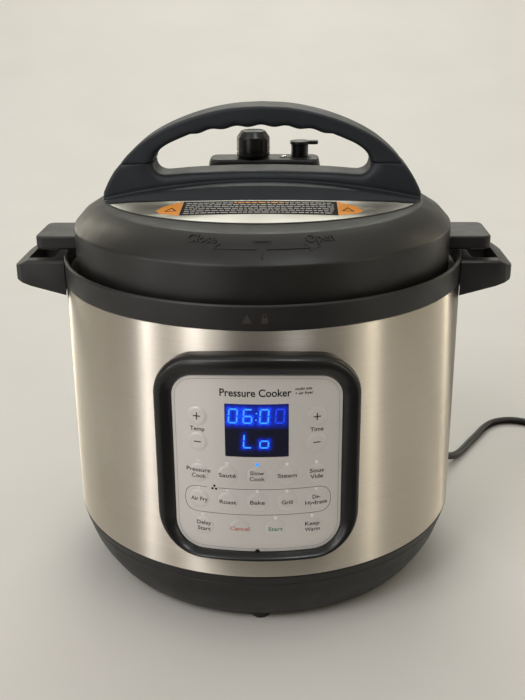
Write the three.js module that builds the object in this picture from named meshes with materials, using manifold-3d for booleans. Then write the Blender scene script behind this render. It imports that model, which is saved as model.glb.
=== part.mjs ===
// Electric pressure cooker with its pressure lid, inner pot, keypad and mains lead.
// Millimetres, +Z up. The control panel faces -Y. The origin is on the floor, on the
// axis of the inner pot.
import * as THREE from 'three';
import * as BufferGeometryUtils from 'three/addons/utils/BufferGeometryUtils.js';
import Module from 'manifold-3d';

const wasm = await Module();
wasm.setup();

// ---------- driving dimensions ----------
const GAP = 0.3;              // clearance between neighbouring solids
const ROUND = 40;             // facets round the body and the lid
const INNER = 32;             // facets round the pot and what holds it
const SMALL = 12;             // facets round keys, pins and holes
const SHELL_R = 151;          // outer radius of the steel shell
const SHELL_T = 0.8;
const SHELL_Z = [50.5, 233.4];
const RING_R = 151.3;         // black ring above the shell
const RING_TOP = 250.5;
const BASE_BOTTOM_Z = 5.8;
const BASE_BOTTOM_R = 128.9;
const FOOT = { r: 6.8, at: 121, stem: 2.5 };

const FACE_R = 156;           // radius of the control panel's front
const BEZEL = { halfW: 71.1, z: [68.9, 220], rTop: 28, rBot: 34, arch: 2.4, crest: 6.2 };
const FACE = { halfW: 58.15, z: [74.5, 205.2], rTop: 15, rBot: 20, arch: 2.4, t: 1.2 };
const DISPLAY = { halfW: 21.2, z: [146.6, 184.8] };
const KEY = { r: 7.2, proud: 0.5, stem: 2, stemEndY: 142.2 };
const KEY_ROWS = [
  [174.3, [[-40.1, 'temp_up'], [40.1, 'time_up']]],
  [155.7, [[-40.1, 'temp_down'], [40.1, 'time_down']]],
  [132.8, [[-40.2, 'pressure_cook'], [-20.1, 'saute'], [0, 'slow_cook'], [20.1, 'steam'],
    [40.2, 'sous_vide']]],
  [113, [[-40.2, 'air_fry'], [-20.1, 'roast'], [0, 'bake'], [20.1, 'grill'],
    [40.2, 'dehydrate']]],
  [92.6, [[-37.4, 'delay_start'], [-12.3, 'cancel'], [12.1, 'start'], [37.5, 'keep_warm']]],
];

const POT = { r: 119.5, t: 1.2, z: [60.3, 248.6], rim: 126.3 };
const TUB = { r: 128.5, t: 1, z: [38, 244.5], flange: 133.2 };
const LUGS = { count: 6, flangeArc: 26, lidArc: 24 };

const LID_R = 142.1;          // outer wall of the lid
const LID_Z = 240.6;          // its lower edge
const DOME = [[142.1, 273.2], [141.5, 275], [135, 281.3], [125, 287.4], [121, 289.4],
  [119.3, 289.95], [102, 292.4], [50, 296.3], [0, 298]];
const SADDLE = { top: 304.5, drop: 12.5, foot: 47.5, crown: 35, tipX: 113 };
const CRESCENT = { r: 123.1, y: 20.1 };
const FIN = { x: [141.2, 174.5], halfY: 24, z: [254, 264.2], r: 8 };
const HANDLE = { halfY: 18, seamZ: 317.2, seamX: 104.3, gripX: 80.5, top: 358.6, grip: 344.7 };
const VENT = { halfX: 44.5, y: [49.5, 80], z: 309 };
const STEAM_VALVE = { x: -8.9, y: 62, r: 13.4, z: [309.6, 330.8] };
const FLOAT = { x: 16.2, y: 62, r: 2, z: [261, 310.5] };
const BUTTON = { x: 28.7, y: 62, r: 7.9, z: [304, 323.2] };

const SIDE = { tipX: 187.5, halfY: 36.5, z: [214, 248.5], slotX: [157, 177], slotY: 26 };
const CUP = { halfX: 30, y: 166, z: [165, 220] };
const INLET = { angle: 35, z: 26, w: 12, h: 10, r: [132, 153.5] };
const CORD_R = 3.5;
const COIL = { x: 318, y: 146.5, r: 42, start: 63, turns: 2.25 };

// ---------- colours ----------
const LOOKS = {
  black: [0x1b1c1c, 0.55, 0], satin: [0x121314, 0.35, 0], slate: [0x2d343b, 0.5, 0],
  strap: [0x35393c, 0.4, 0], steel: [0xc9c0b2, 0.3, 1], pot: [0xc4c4c4, 0.22, 1],
  face: [0xcdc8c2, 0.45, 0.2], glass: [0x05060f, 0.1, 0], alu: [0xb8b8ba, 0.45, 1],
  rubber: [0x161616, 0.85, 0], silicone: [0xd9d9d4, 0.6, 0], board: [0x1d5a34, 0.6, 0],
  chrome: [0xd8d8d8, 0.12, 1], white: [0xe6e6e2, 0.5, 0],
};

// ---------- solids ----------
function toManifold(pos, tri) {
  const mesh = new wasm.Mesh({
    numProp: 3,
    vertProperties: new Float32Array(pos),
    triVerts: new Uint32Array(tri),
  });
  return new wasm.Manifold(mesh);
}

function volume(pos, tri) {
  let v = 0;
  const p = (i) => new THREE.Vector3(pos[3 * i], pos[3 * i + 1], pos[3 * i + 2]);
  for (let i = 0; i < tri.length; i += 3) {
    v += p(tri[i]).dot(p(tri[i + 1]).cross(p(tri[i + 2])));
  }
  return v / 6;
}

// Any closed triangle mesh, turned to face outwards.
function solid(pos, tri) {
  if (volume(pos, tri) < 0) {
    for (let i = 0; i < tri.length; i += 3) {
      [tri[i + 1], tri[i + 2]] = [tri[i + 2], tri[i + 1]];
    }
  }
  return toManifold(pos, tri);
}

function fromGeometry(geometry) {
  const bare = geometry.clone();
  for (const name of ['normal', 'uv']) bare.deleteAttribute(name);
  const merged = BufferGeometryUtils.mergeVertices(bare, 1e-4);
  const index = Array.from(merged.index.array);
  const tri = [];
  for (let i = 0; i < index.length; i += 3) {
    const [a, b, c] = index.slice(i, i + 3);
    if (a !== b && b !== c && c !== a) tri.push(a, b, c);
  }
  return solid(Array.from(merged.attributes.position.array), tri);
}

function join(first, ...rest) {
  return rest.reduce((a, b) => a.add(b), first);
}

function cut(first, ...rest) {
  return rest.reduce((a, b) => a.subtract(b), first);
}

function toGeometry(manifold) {
  const mesh = manifold.getMesh();
  const g = new THREE.BufferGeometry();
  g.setAttribute('position', new THREE.BufferAttribute(new Float32Array(mesh.vertProperties), 3));
  g.setIndex(new THREE.BufferAttribute(new Uint32Array(mesh.triVerts), 1));
  return g;
}

// ---------- shape helpers ----------
const rad = THREE.MathUtils.degToRad;

// A closed profile of [radius, height] points turned round the Z axis.
function revolve(profile, facets = ROUND) {
  const first = profile[0];
  const last = profile[profile.length - 1];
  const open = first[0] === 0 && last[0] === 0;
  const loop = open ? profile : [...profile, first];
  const points = loop.map(([r, z]) => new THREE.Vector2(r, z));
  const g = new THREE.LatheGeometry(points, facets);
  return fromGeometry(g.rotateX(Math.PI / 2));
}

function moved(manifold, x, y, z) {
  return fromGeometry(toGeometry(manifold).translate(x, y, z));
}

function turned(manifold, degrees) {
  return fromGeometry(toGeometry(manifold).rotateZ(rad(degrees)));
}

function disc(r, z0, z1, facets = 24, x = 0, y = 0) {
  return moved(revolve([[0, z0], [r, z0], [r, z1], [0, z1]], facets), x, y, 0);
}

function box(x, y, z) {
  const g = new THREE.BoxGeometry(x[1] - x[0], y[1] - y[0], z[1] - z[0]);
  return fromGeometry(g.translate((x[0] + x[1]) / 2, (y[0] + y[1]) / 2, (z[0] + z[1]) / 2));
}

function shapeOf(points) {
  return new THREE.Shape(points.map(([a, b]) => new THREE.Vector2(a, b)));
}

// A plan outline in X and Y, raised from z0 to z1.
function slab(points, z0, z1, bevel = 0) {
  const g = new THREE.ExtrudeGeometry(shapeOf(points), {
    depth: z1 - z0 - 2 * bevel,
    bevelEnabled: bevel > 0,
    bevelThickness: bevel,
    bevelSize: bevel,
    bevelOffset: -bevel,
    bevelSegments: 1,
  });
  return fromGeometry(g.translate(0, 0, z0 + bevel));
}

// An outline in X and Z, as deep as halfY to each side of Y = 0.
function upright(points, halfY, bevel = 0) {
  const g = toGeometry(slab(points, -halfY, halfY, bevel));
  return fromGeometry(g.rotateX(Math.PI / 2));
}

// An outline in Y and Z, run along X.
function alongX(points, halfX) {
  const g = toGeometry(slab(points, -halfX, halfX));
  return fromGeometry(g.applyMatrix4(new THREE.Matrix4().makeBasis(
    new THREE.Vector3(0, 1, 0), new THREE.Vector3(0, 0, 1), new THREE.Vector3(1, 0, 0))));
}

function rounded(x0, x1, y0, y1, r, steps = 4) {
  const points = [];
  const corners = [[x1 - r, y0 + r, -90], [x1 - r, y1 - r, 0], [x0 + r, y1 - r, 90],
    [x0 + r, y0 + r, 180]];
  for (const [cx, cy, start] of corners) {
    for (let i = 0; i <= steps; i += 1) {
      const a = rad(start + (90 * i) / steps);
      points.push([cx + r * Math.cos(a), cy + r * Math.sin(a)]);
    }
  }
  return points;
}

// Rings of points joined into one closed skin; ends are capped unless it closes on itself.
function loft(rings, closed) {
  const n = rings[0].length;
  const pos = rings.flat(2);
  const tri = [];
  const at = (k, i) => (k % rings.length) * n + (i % n);
  const spans = closed ? rings.length : rings.length - 1;
  for (let k = 0; k < spans; k += 1) {
    for (let i = 0; i < n; i += 1) {
      tri.push(at(k, i), at(k, i + 1), at(k + 1, i + 1));
      tri.push(at(k, i), at(k + 1, i + 1), at(k + 1, i));
    }
  }
  return { pos, tri, n };
}

function cappedLoft(rings, outline) {
  const { pos, tri, n } = loft(rings, false);
  const flat = outline.map(([a, b]) => new THREE.Vector2(a, b));
  const top = (rings.length - 1) * n;
  for (const [a, b, c] of THREE.ShapeUtils.triangulateShape(flat, [])) {
    tri.push(a, c, b, top + a, top + b, top + c);
  }
  return solid(pos, tri);
}

// A piece of ring between two radii, centred on an angle.
function ringArc(r, z, centre, span, steps = 4) {
  const points = [];
  for (let i = 0; i <= steps; i += 1) {
    const a = rad(centre - span / 2 + (span * i) / steps);
    points.push([r[1] * Math.cos(a), r[1] * Math.sin(a)]);
  }
  for (let i = steps; i >= 0; i -= 1) {
    const a = rad(centre - span / 2 + (span * i) / steps);
    points.push([r[0] * Math.cos(a), r[0] * Math.sin(a)]);
  }
  return slab(points, z[0], z[1]);
}

// ---------- control panel helpers: u runs round the panel, n stands out from it ----------
function wrap(u, z, n) {
  const a = u / FACE_R;
  return [(FACE_R + n) * Math.sin(a), -(FACE_R + n) * Math.cos(a), z];
}

function panelOutline({ halfW, z, rTop, rBot, arch }, inset = 0) {
  const w = halfW - inset;
  const [z0, z1] = [z[0] + inset, z[1] - inset];
  const [rt, rb] = [rTop - inset, rBot - inset];
  const points = [];
  const straight = (x0, x1, zz) => {
    for (let i = 1; i < 8; i += 1) points.push([x0 + ((x1 - x0) * i) / 8, zz]);
  };
  const corner = (cx, cz, r, start) => {
    for (let i = 0; i <= 5; i += 1) {
      const a = rad(start + 18 * i);
      points.push([cx + r * Math.cos(a), cz + r * Math.sin(a)]);
    }
  };
  straight(-(w - rb), w - rb, z0);
  corner(w - rb, z0 + rb, rb, -90);
  corner(w - rt, z1 - rt, rt, 0);
  straight(w - rt, -(w - rt), z1);
  corner(-(w - rt), z1 - rt, rt, 90);
  corner(-(w - rb), z0 + rb, rb, 180);
  const lift = (u, zz) => Math.max(0, (zz - 150) / (z1 - 150)) * arch * (u / 44) ** 2;
  return points.map(([u, zz]) => [u, zz - lift(u, zz)]);
}

function wrapPrism(outline, n0, n1) {
  return cappedLoft([n0, n1].map((n) => outline.map(([u, z]) => wrap(u, z, n))), outline);
}

// A curved plate with the panel's radius, between two heights above its front.
function wrapPlate(halfU, z, n) {
  const points = [];
  const steps = 14;
  for (let i = 0; i <= steps; i += 1) points.push(wrap(-halfU + (2 * halfU * i) / steps, 0, n[1]));
  for (let i = steps; i >= 0; i -= 1) points.push(wrap(-halfU + (2 * halfU * i) / steps, 0, n[0]));
  return slab(points.map(([x, y]) => [x, y]), z[0], z[1]);
}

// A round peg pointing out of the panel at u, z; profile is [radius, n] pairs.
function panelPeg(u, z, profile, facets = SMALL) {
  const g = toGeometry(revolve(profile.map(([r, n]) => [r, FACE_R + n]), facets));
  g.rotateX(Math.PI / 2).rotateZ(u / FACE_R).translate(0, 0, z);
  return fromGeometry(g);
}

// ---------- base ----------
function baseHousing() {
  const skin = revolve([[98.2, BASE_BOTTOM_Z], [BASE_BOTTOM_R, BASE_BOTTOM_Z], [135.5, 13.5],
    [143.5, 27], [149.2, 43], [150.9, 50.1], [149.6, 50.1], [149.6, 57], [146.8, 57],
    [144.4, 39], [132.5, 16], [125.5, 9.2], [98.2, 9.2]]);
  const pocket = turned(box([130, 160], [-INLET.w - GAP, INLET.w + GAP],
    [INLET.z - INLET.h - GAP, INLET.z + INLET.h + GAP]), INLET.angle);
  const holes = footPlaces().map(([x, y]) => disc(FOOT.stem + GAP, 0, 20, 8, x, y));
  return cut(skin, pocket, ...holes);
}

function bottomCover() {
  const plate = revolve([[0, 6.2], [97.9, 6.2], [97.9, 9.5], [103.5, 9.5], [103.5, 11.5],
    [95.5, 11.5], [95.5, 8.7], [0, 8.7]], INNER);
  const slots = [];
  for (let i = 0; i < 10; i += 1) slots.push(turned(box([42, 66], [-2.2, 2.2], [0, 20]), 36 * i));
  return cut(plate, ...slots);
}

function footPlaces() {
  return [-90, 0, 90, 180].map((a) => [FOOT.at * Math.cos(rad(a)), FOOT.at * Math.sin(rad(a))]);
}

function foot([x, y]) {
  const top = BASE_BOTTOM_Z - GAP;
  return moved(revolve([[0, 0], [FOOT.r, 0], [FOOT.r, top], [FOOT.stem, top],
    [FOOT.stem, top + 5], [0, top + 5]], SMALL), x, y, 0);
}

function outerShell() {
  const inner = SHELL_R - SHELL_T;
  const tube = revolve([[inner, SHELL_Z[0]], [SHELL_R, SHELL_Z[0]], [SHELL_R, SHELL_Z[1]],
    [inner, SHELL_Z[1]]]);
  const window = panelOutline({ halfW: 54, z: [80, 199], rTop: 12, rBot: 14, arch: 0 });
  return cut(tube, wrapPrism(window, -30, 25));
}

function topRing() {
  const spigot = SHELL_R - SHELL_T - GAP;
  return revolve([[spigot, SHELL_Z[1] + GAP], [RING_R, SHELL_Z[1] + GAP], [RING_R, RING_TOP - 1.2],
    [RING_R - 0.6, RING_TOP - 0.2], [RING_R - 2, RING_TOP], [RING_R - 2.8, RING_TOP - 0.9],
    [RING_R - 3.3, 239], [TUB.flange, 239], [TUB.flange, 243.2], [131.2, 243.2],
    [131.2, 236.4], [147.6, 236.4], [147.6, 226], [spigot, 226]]);
}

function sideHandle(side) {
  const h = SIDE.halfY;
  const plan = [[140, -h], [174, -h], [181, -h + 2.5], [185.5, -h + 7.5], [SIDE.tipX, -h + 14.5],
    [SIDE.tipX, h - 14.5], [185.5, h - 7.5], [181, h - 2.5], [174, h], [140, h]];
  const body = slab(plan, SIDE.z[0], SIDE.z[1], 1.6);
  const under = upright([[130, 200], [200, 200], [200, 236.4], [150, 222.5], [130, 217]], 60);
  const over = upright([[175, 248.7], [200, 236.5], [200, 260], [175, 260]], 60);
  const slot = slab(rounded(SIDE.slotX[0], SIDE.slotX[1], -SIDE.slotY, SIDE.slotY, 4), 200, 260);
  const ring = disc(RING_R + 0.35, 200, 260, 2 * ROUND);
  const handle = cut(body, under, over, slot, ring);
  return side > 0 ? handle : turned(handle, 180);
}

function innerHousing() {
  const { r, t, z, flange } = TUB;
  return revolve([[5, z[0]], [121, z[0]], [r, 45.5], [r, z[1] - t], [flange, z[1] - t],
    [flange, z[1]], [r - t, z[1]], [r - t, 46], [120.6, z[0] + t], [5, z[0] + t]], INNER);
}

function lockingFlange() {
  const z = [TUB.z[1] + GAP, 248.8];
  const ring = revolve([[127.5, z[0]], [131.2, z[0]], [131.2, z[1]], [127.5, z[1]]], INNER);
  const lugs = [];
  for (let i = 0; i < LUGS.count; i += 1) {
    lugs.push(ringArc([130, 137.6], [246.3, z[1]], (360 / LUGS.count) * i, LUGS.flangeArc, 3));
  }
  return join(ring, ...lugs);
}

function heatingPlate() {
  const plate = revolve([[12.8, 50], [92, 50], [96, 53], [96, 57.5], [92, 60], [12.8, 60]], INNER);
  const legs = [30, 150, 270].map((a) => {
    return disc(4, TUB.z[0] + TUB.t + GAP, 51, 8, 70 * Math.cos(rad(a)), 70 * Math.sin(rad(a)));
  });
  return join(plate, ...legs);
}

function temperatureSensor() {
  return revolve([[0, 50.5], [7.5, 50.5], [7.5, 58], [11.8, 58.6], [11.8, 60], [0, 60]], 16);
}

function sensorSpring() {
  const points = [];
  const turns = 3;
  for (let i = 0; i <= 10 * turns; i += 1) {
    const a = (2 * Math.PI * i) / 10;
    const z = 40.2 + (9.1 * i) / (10 * turns);
    points.push(new THREE.Vector3(6 * Math.cos(a), 6 * Math.sin(a), z));
  }
  return tube(points, 0.8, 10 * turns, 5);
}

function tube(points, r, steps, sides) {
  const section = [];
  for (let i = 0; i < sides; i += 1) {
    const a = (2 * Math.PI * i) / sides;
    section.push([r * Math.cos(a), r * Math.sin(a)]);
  }
  return fromGeometry(new THREE.ExtrudeGeometry(shapeOf(section), {
    steps,
    bevelEnabled: false,
    extrudePath: new THREE.CatmullRomCurve3(points, false, 'centripetal'),
  }));
}

function powerBoard() {
  const board = box([-52, 28], [-72, -16], [15, 16.6]);
  const posts = [[-47, -67], [-47, -21], [23, -67], [23, -21]].map(([x, y]) => {
    return disc(3, 9, 15.5, 8, x, y);
  });
  const relay = box([-45, -25], [-52, -28], [16, 32]);
  const coil = box([-16, 4], [-62, -42], [16, 30]);
  const capacitors = [[-36, -62], [14, -32], [15, -58]].map(([x, y]) => disc(6, 16, 33, 8, x, y));
  return join(board, ...posts, relay, coil, ...capacitors);
}

function controlBoard() {
  const board = box([-49, 49], [-139, -137.4], [84, 199]);
  const chips = [box([-12, 12], [-138, -132.5], [96, 120]), box([24, 40], [-138, -131.5], [90, 104])];
  const switches = [];
  for (const [z, keys] of KEY_ROWS) {
    for (const [u] of keys) {
      const [x] = wrap(u, z, -9);
      switches.push(box([x - 2.5, x + 2.5], [-140.5, -138], [z - 2.5, z + 2.5]));
    }
  }
  return join(board, ...chips, ...switches);
}

// ---------- control panel ----------
function panelBezel() {
  const outer = panelOutline(BEZEL);
  const inner = panelOutline(FACE);
  const back = SHELL_R + GAP - FACE_R;
  const section = [[0, back], [0, -1.5], [0.09, 2.6], [0.27, 5.2], [0.5, BEZEL.crest],
    [0.73, 5.3], [0.9, 2.9], [1, 0.4], [1, back]];
  const rings = section.map(([w, n]) => outer.map(([u, z], i) => {
    return wrap(u + (inner[i][0] - u) * w, z + (inner[i][1] - z) * w, n);
  }));
  const { pos, tri } = loft(rings, true);
  return solid(pos, tri);
}

function panelFace() {
  const plate = wrapPlate(FACE.halfW + 4, [FACE.z[0] - 5, FACE.z[1] + 5], [-FACE.t, 0]);
  const trimmed = plate.intersect(wrapPrism(panelOutline(FACE, GAP), -12, 25));
  const holes = allKeys().map(({ u, z }) => {
    return panelPeg(u, z, [[0, -8], [KEY.r + GAP, -8], [KEY.r + GAP, 8], [0, 8]]);
  });
  const screen = wrapPrism(screenOutline(0), -12, 25);
  return cut(trimmed, ...holes, screen);
}

function screenOutline(inset) {
  const w = DISPLAY.halfW - inset;
  const [z0, z1] = [DISPLAY.z[0] + inset, DISPLAY.z[1] - inset];
  const points = [];
  for (let i = 0; i <= 5; i += 1) points.push([-w + (2 * w * i) / 5, z0]);
  for (let i = 0; i <= 5; i += 1) points.push([w - (2 * w * i) / 5, z1]);
  return points;
}

function displayWindow() {
  const plate = wrapPlate(DISPLAY.halfW + 3, [140, 190], [-1.4, 0.05]);
  return plate.intersect(wrapPrism(screenOutline(GAP), -12, 25));
}

function displayModule() {
  return box([-20, 20], [-152.3, -139.3], [148, 183.4]);
}

function allKeys() {
  return KEY_ROWS.flatMap(([z, keys]) => keys.map(([u, name]) => ({ u, z, name: `key_${name}` })));
}

function key({ u, z }) {
  const end = KEY.stemEndY / Math.cos(u / FACE_R) - FACE_R;
  return panelPeg(u, z, [[0, end], [KEY.stem, end], [KEY.stem, -2.6], [KEY.r, -2.6],
    [KEY.r, KEY.proud], [0, KEY.proud]]);
}

// ---------- mains lead ----------
function mainsInlet() {
  const { r, w, h, z } = INLET;
  const block = slab(rounded(r[0], r[1], -w, w, 2.5, 2), z - h, z + h);
  const bore = radialPeg([[0, r[0] - 5], [CORD_R + 0.9, r[0] - 5], [CORD_R + 0.9, 146],
    [6.6, 146], [6.6, r[1] + 5], [0, r[1] + 5]]);
  return turned(cut(block, bore), INLET.angle);
}

// A round profile of [radius, distance from the pot's axis], at the inlet's height.
function radialPeg(profile) {
  const g = toGeometry(revolve(profile, SMALL)).rotateY(Math.PI / 2).translate(0, 0, INLET.z);
  return fromGeometry(g);
}

function strainRelief() {
  const bore = CORD_R + 2 * GAP;
  return turned(radialPeg([[bore, 146.4], [6.2, 146.4], [6.2, 154.5], [5.6, 156], [4.8, 176],
    [bore, 176]]), INLET.angle);
}

// The route of the lead's centre line, from inside the inlet to the start of the coil.
const LEAD = [
  [110.6, 77.4, 26], [122.9, 86, 26], [134.3, 94.1, 26], [145.8, 102.1, 25.8],
  [155.6, 109.2, 22.3], [165.5, 116.8, 15.5], [175.3, 126, 8.6], [184.7, 137.5, 4.7],
  [194, 152, 3.8], [203.5, 168.5, 3.8], [214, 186, 3.8], [225, 203, 3.8], [236, 215.8, 3.8],
  [249, 221.6, 3.8], [262, 220, 3.8], [276, 213.6, 3.8], [291, 206.2, 3.8], [304, 199.8, 3.8],
  [311.5, 196.3, 3.8],
];

function powerCord() {
  return tube(LEAD.map((p) => new THREE.Vector3(...p)), CORD_R, 24, 8);
}

function cordCoil() {
  const [inner, outer] = [COIL.r - CORD_R - 0.2, COIL.r + CORD_R + 0.2];
  const top = 4 * CORD_R + 0.6;
  return moved(revolve([[inner, 0.2], [outer, 0.2], [outer, top], [inner, top]], 24),
    COIL.x, COIL.y, 0);
}

// The plug lies beside the coil, in line with the end of its last turn.
function plug() {
  const s0 = 28;
  const relief = revolve([[0, s0], [4.2, s0], [6.2, s0 + 18], [0, s0 + 18]], 12);
  const parts = [relief, slab(rounded(-13, 13, -11, 11, 5, 2), s0 + 17.5, s0 + 50, 1.5)];
  for (const x of [-6.4, 6.4]) parts.push(box([x - 0.8, x + 0.8], [-3.1, 3.1], [s0 + 49, s0 + 67]));
  parts.push(moved(revolve([[0, s0 + 49], [2.4, s0 + 49], [2.4, s0 + 69], [0, s0 + 69]], 10),
    0, 6.5, 0));
  const end = rad(COIL.start - 360 * COIL.turns);
  const side = new THREE.Vector3(Math.cos(end), Math.sin(end), 0);
  const along = new THREE.Vector3(Math.sin(end), -Math.cos(end), 0);
  const up = new THREE.Vector3(0, 0, 1);
  const place = new THREE.Matrix4().makeBasis(side, up.clone().negate(), along);
  place.setPosition(COIL.x + COIL.r * side.x, COIL.y + COIL.r * side.y, 11.4);
  return fromGeometry(toGeometry(join(...parts)).applyMatrix4(place));
}

// ---------- rear cup ----------
function condensationCollector() {
  const { halfX, y, z } = CUP;
  const block = slab(rounded(-halfX, halfX, 135, y, 5), z[0], z[1], 1);
  const hollow = slab(rounded(-halfX + 2, halfX - 2, 153.6, y - 1.8, 3), z[0] + 2, z[1] + 5);
  return cut(block, disc(SHELL_R + 0.45, 100, 260, 2 * ROUND), hollow);
}

// ---------- inner pot and sealing ring ----------
function innerPot() {
  const { r, t, z, rim } = POT;
  return revolve([[0, z[0]], [108, z[0]], [115.5, z[0] + 2.2], [r, z[0] + 8.7], [r, 245.5],
    [r + 1.5, 247], [rim, 247.4], [rim, z[1]], [r + 0.4, z[1] - 0.3], [r - t, 246.2],
    [r - t, z[0] + 9.9], [114, z[0] + 5.2], [107, z[0] + 4], [0, z[0] + 4]], INNER);
}

function sealingRing() {
  return revolve([[119, 249.3], [128, 249.3], [129.5, 250.8], [129.5, 258.4], [120.5, 258.4],
    [120.5, 256.4], [126.6, 256.4], [126.6, 251.3], [119, 251.3]], INNER);
}

function ringRack() {
  const profile = [];
  for (let i = 0; i < 6; i += 1) {
    const a = (2 * Math.PI * i) / 6;
    profile.push([123.3 + 1.5 * Math.cos(a), 253.9 + 1.5 * Math.sin(a)]);
  }
  return revolve(profile, INNER);
}

// ---------- lid ----------
function domeDepth(depth) {
  const skin = DOME.map(([r, z]) => [r === 0 ? 0 : r, z - depth]);
  return revolve([[0, 200], [LID_R, 200], ...skin]);
}

function saddleEdge(halfY, bend, limit) {
  const half = [];
  const steps = 8;
  for (let i = 0; i <= steps; i += 1) {
    const x = -limit + (2 * limit * i) / steps;
    const y = halfY - bend * (x / SADDLE.tipX) ** 2;
    half.push([x, -Math.min(y, Math.sqrt(Math.max(1, (limit + 1) ** 2 - x ** 2)))]);
  }
  return [...half, ...half.map(([x, y]) => [-x, -y])];
}

function saddleTop(x) {
  return SADDLE.top - SADDLE.drop * (x / SADDLE.tipX) ** 2;
}

function saddle() {
  const low = saddleEdge(SADDLE.foot, 15, 119.6);
  const high = saddleEdge(SADDLE.crown, 10, 118.4);
  return cappedLoft([
    low.map(([x, y]) => [x, y, saddleTop(x) - 12]),
    high.map(([x, y]) => [x, y, saddleTop(x)]),
  ], low);
}

function fin(side) {
  const plate = slab(rounded(125, FIN.x[1], -FIN.halfY, FIN.halfY, FIN.r), FIN.z[0], FIN.z[1], 1.2);
  const fitted = cut(plate, disc(FIN.x[0], 240, 280, ROUND));
  return side > 0 ? fitted : turned(fitted, 180);
}

function crescentFront(x, grow) {
  return CRESCENT.y - Math.sqrt((CRESCENT.r + grow) ** 2 - x ** 2);
}

function crescentBack(x, grow) {
  return -(SADDLE.foot + 1.3 - grow - 15 * (x / SADDLE.tipX) ** 2);
}

function crescentTip(grow) {
  let [low, high] = [90, 120];
  for (let i = 0; i < 30; i += 1) {
    const x = (low + high) / 2;
    if (crescentFront(x, grow) < crescentBack(x, grow)) low = x;
    else high = x;
  }
  return low;
}

function crescentOutline(grow) {
  const points = [];
  const steps = 12;
  const tip = crescentTip(grow);
  for (let i = 0; i <= steps; i += 1) {
    const x = -tip + (2 * tip * i) / steps;
    points.push([x, crescentFront(x, grow)]);
  }
  for (let i = steps - 1; i > 0; i -= 1) {
    const x = -tip + (2 * tip * i) / steps;
    points.push([x, crescentBack(x, grow)]);
  }
  return points;
}

function lidPlate() {
  const outline = slab(crescentOutline(0), 270, 320);
  return cut(domeDepth(0.1), domeDepth(0.75)).intersect(outline);
}

function lidCover() {
  const outer = [[LID_R, LID_Z], ...DOME];
  const inner = [[0, 295], [50, 293.3], [101, 289.4], [119.6, 286.6], [133.5, 278.9],
    [139.2, 273], [140.6, 270], [140.6, LID_Z]];
  const skin = revolve([...outer, ...inner]);
  const platform = slab(rounded(-VENT.halfX, VENT.halfX, VENT.y[0], VENT.y[1], 7, 3), 286, VENT.z, 1.5);
  const under = cut(platform, domeDepth(1.5));
  const cover = join(skin, cut(saddle(), domeDepth(1.5)), under, fin(1), fin(-1));
  const pocket = cut(slab(crescentOutline(2 * GAP), 270, 320), domeDepth(1));
  const pipe = disc(3.8, 240, 320, 12, STEAM_VALVE.x, STEAM_VALVE.y);
  const pin = disc(FLOAT.r + 0.4, 240, 320, 10, FLOAT.x, FLOAT.y);
  const well = disc(BUTTON.r + 0.4, 299, 320, 16, BUTTON.x, BUTTON.y);
  return cut(cover, pocket, pipe, pin, well);
}

function innerLid() {
  const bowl = revolve([[139, 241.2], [140.2, 241.2], [140.2, 262], [136, 265.4], [100, 272],
    [50, 277], [0, 278.5], [0, 277.3], [50, 275.8], [99.6, 270.8], [108, 262.8], [112, 259.4],
    [136.5, 259.4], [139, 257.5]]);
  const lugs = [];
  for (let i = 0; i < LUGS.count; i += 1) {
    lugs.push(ringArc([134.6, 139.6], [241.3, 243.6], (360 / LUGS.count) * i, LUGS.lidArc, 3));
  }
  const pipe = disc(3.8, 240, 300, 12, STEAM_VALVE.x, STEAM_VALVE.y);
  const pin = disc(FLOAT.r + 0.4, 240, 300, 10, FLOAT.x, FLOAT.y);
  return cut(join(bowl, ...lugs), pipe, pin);
}

// Half of the handle's outline, from the seam to the crown, in X and Z.
const ARCH = [[HANDLE.seamX, HANDLE.seamZ + GAP], [97, 325.3], [85, 335], [70, 343.3],
  [54, 349.7], [38, 354.3], [20, 357.5], [0, HANDLE.top]];
const GRIP = [[HANDLE.gripX, HANDLE.seamZ + GAP], [79.3, 321.5], [75.5, 326.5], [69, 331],
  [61, 334.6], [52, 338.2]];

function scallopedGrip() {
  const points = [];
  for (let i = 0; i <= 20; i += 1) {
    const x = 46 - (92 * i) / 20;
    const arch = HANDLE.grip - 4.6 * (x / 46) ** 2;
    points.push([x, arch - 0.7 + 0.7 * Math.cos((2 * Math.PI * 5 * x) / 92)]);
  }
  return points;
}

function handleUpper() {
  const left = ([x, z]) => [-x, z];
  const outline = [...ARCH, ...ARCH.slice(0, -1).reverse().map(left), ...GRIP.map(left),
    ...scallopedGrip().reverse(), ...[...GRIP].reverse()];
  return upright(outline, HANDLE.halfY, 1.6);
}

function handleLower() {
  const { seamX, seamZ, gripX } = HANDLE;
  const right = [[119.4, saddleTop(119.4) + GAP], [119.4, 292.4], [113.5, 304], [seamX, seamZ],
    [gripX, seamZ], [gripX, 314], [77.5, 310.4], [72, 308.7]];
  const bar = [];
  for (let x = 54; x >= -54; x -= 18) bar.push([x, 311.7 - 3 * (x / 72) ** 2]);
  const base = [];
  for (let x = -105; x <= 105; x += 15) base.push([x, saddleTop(x) + GAP]);
  const left = right.map(([x, z]) => [-x, z]).reverse();
  const front = upright([...right, ...bar, ...left, ...base], 50);
  const h = HANDLE.halfY;
  const flare = [[40, 280], [36, 300], [31.5, 304.5], [26, 307.5], [21.5, 310], [19, 312.5],
    [h, 316], [h, 330]];
  const section = alongX([...flare, ...flare.map(([y, z]) => [-y, z]).reverse()], 130);
  const plan = slab(saddleEdge(SADDLE.crown - 1, 10, 118), 270, 340);
  return front.intersect(section).intersect(plan);
}

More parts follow.
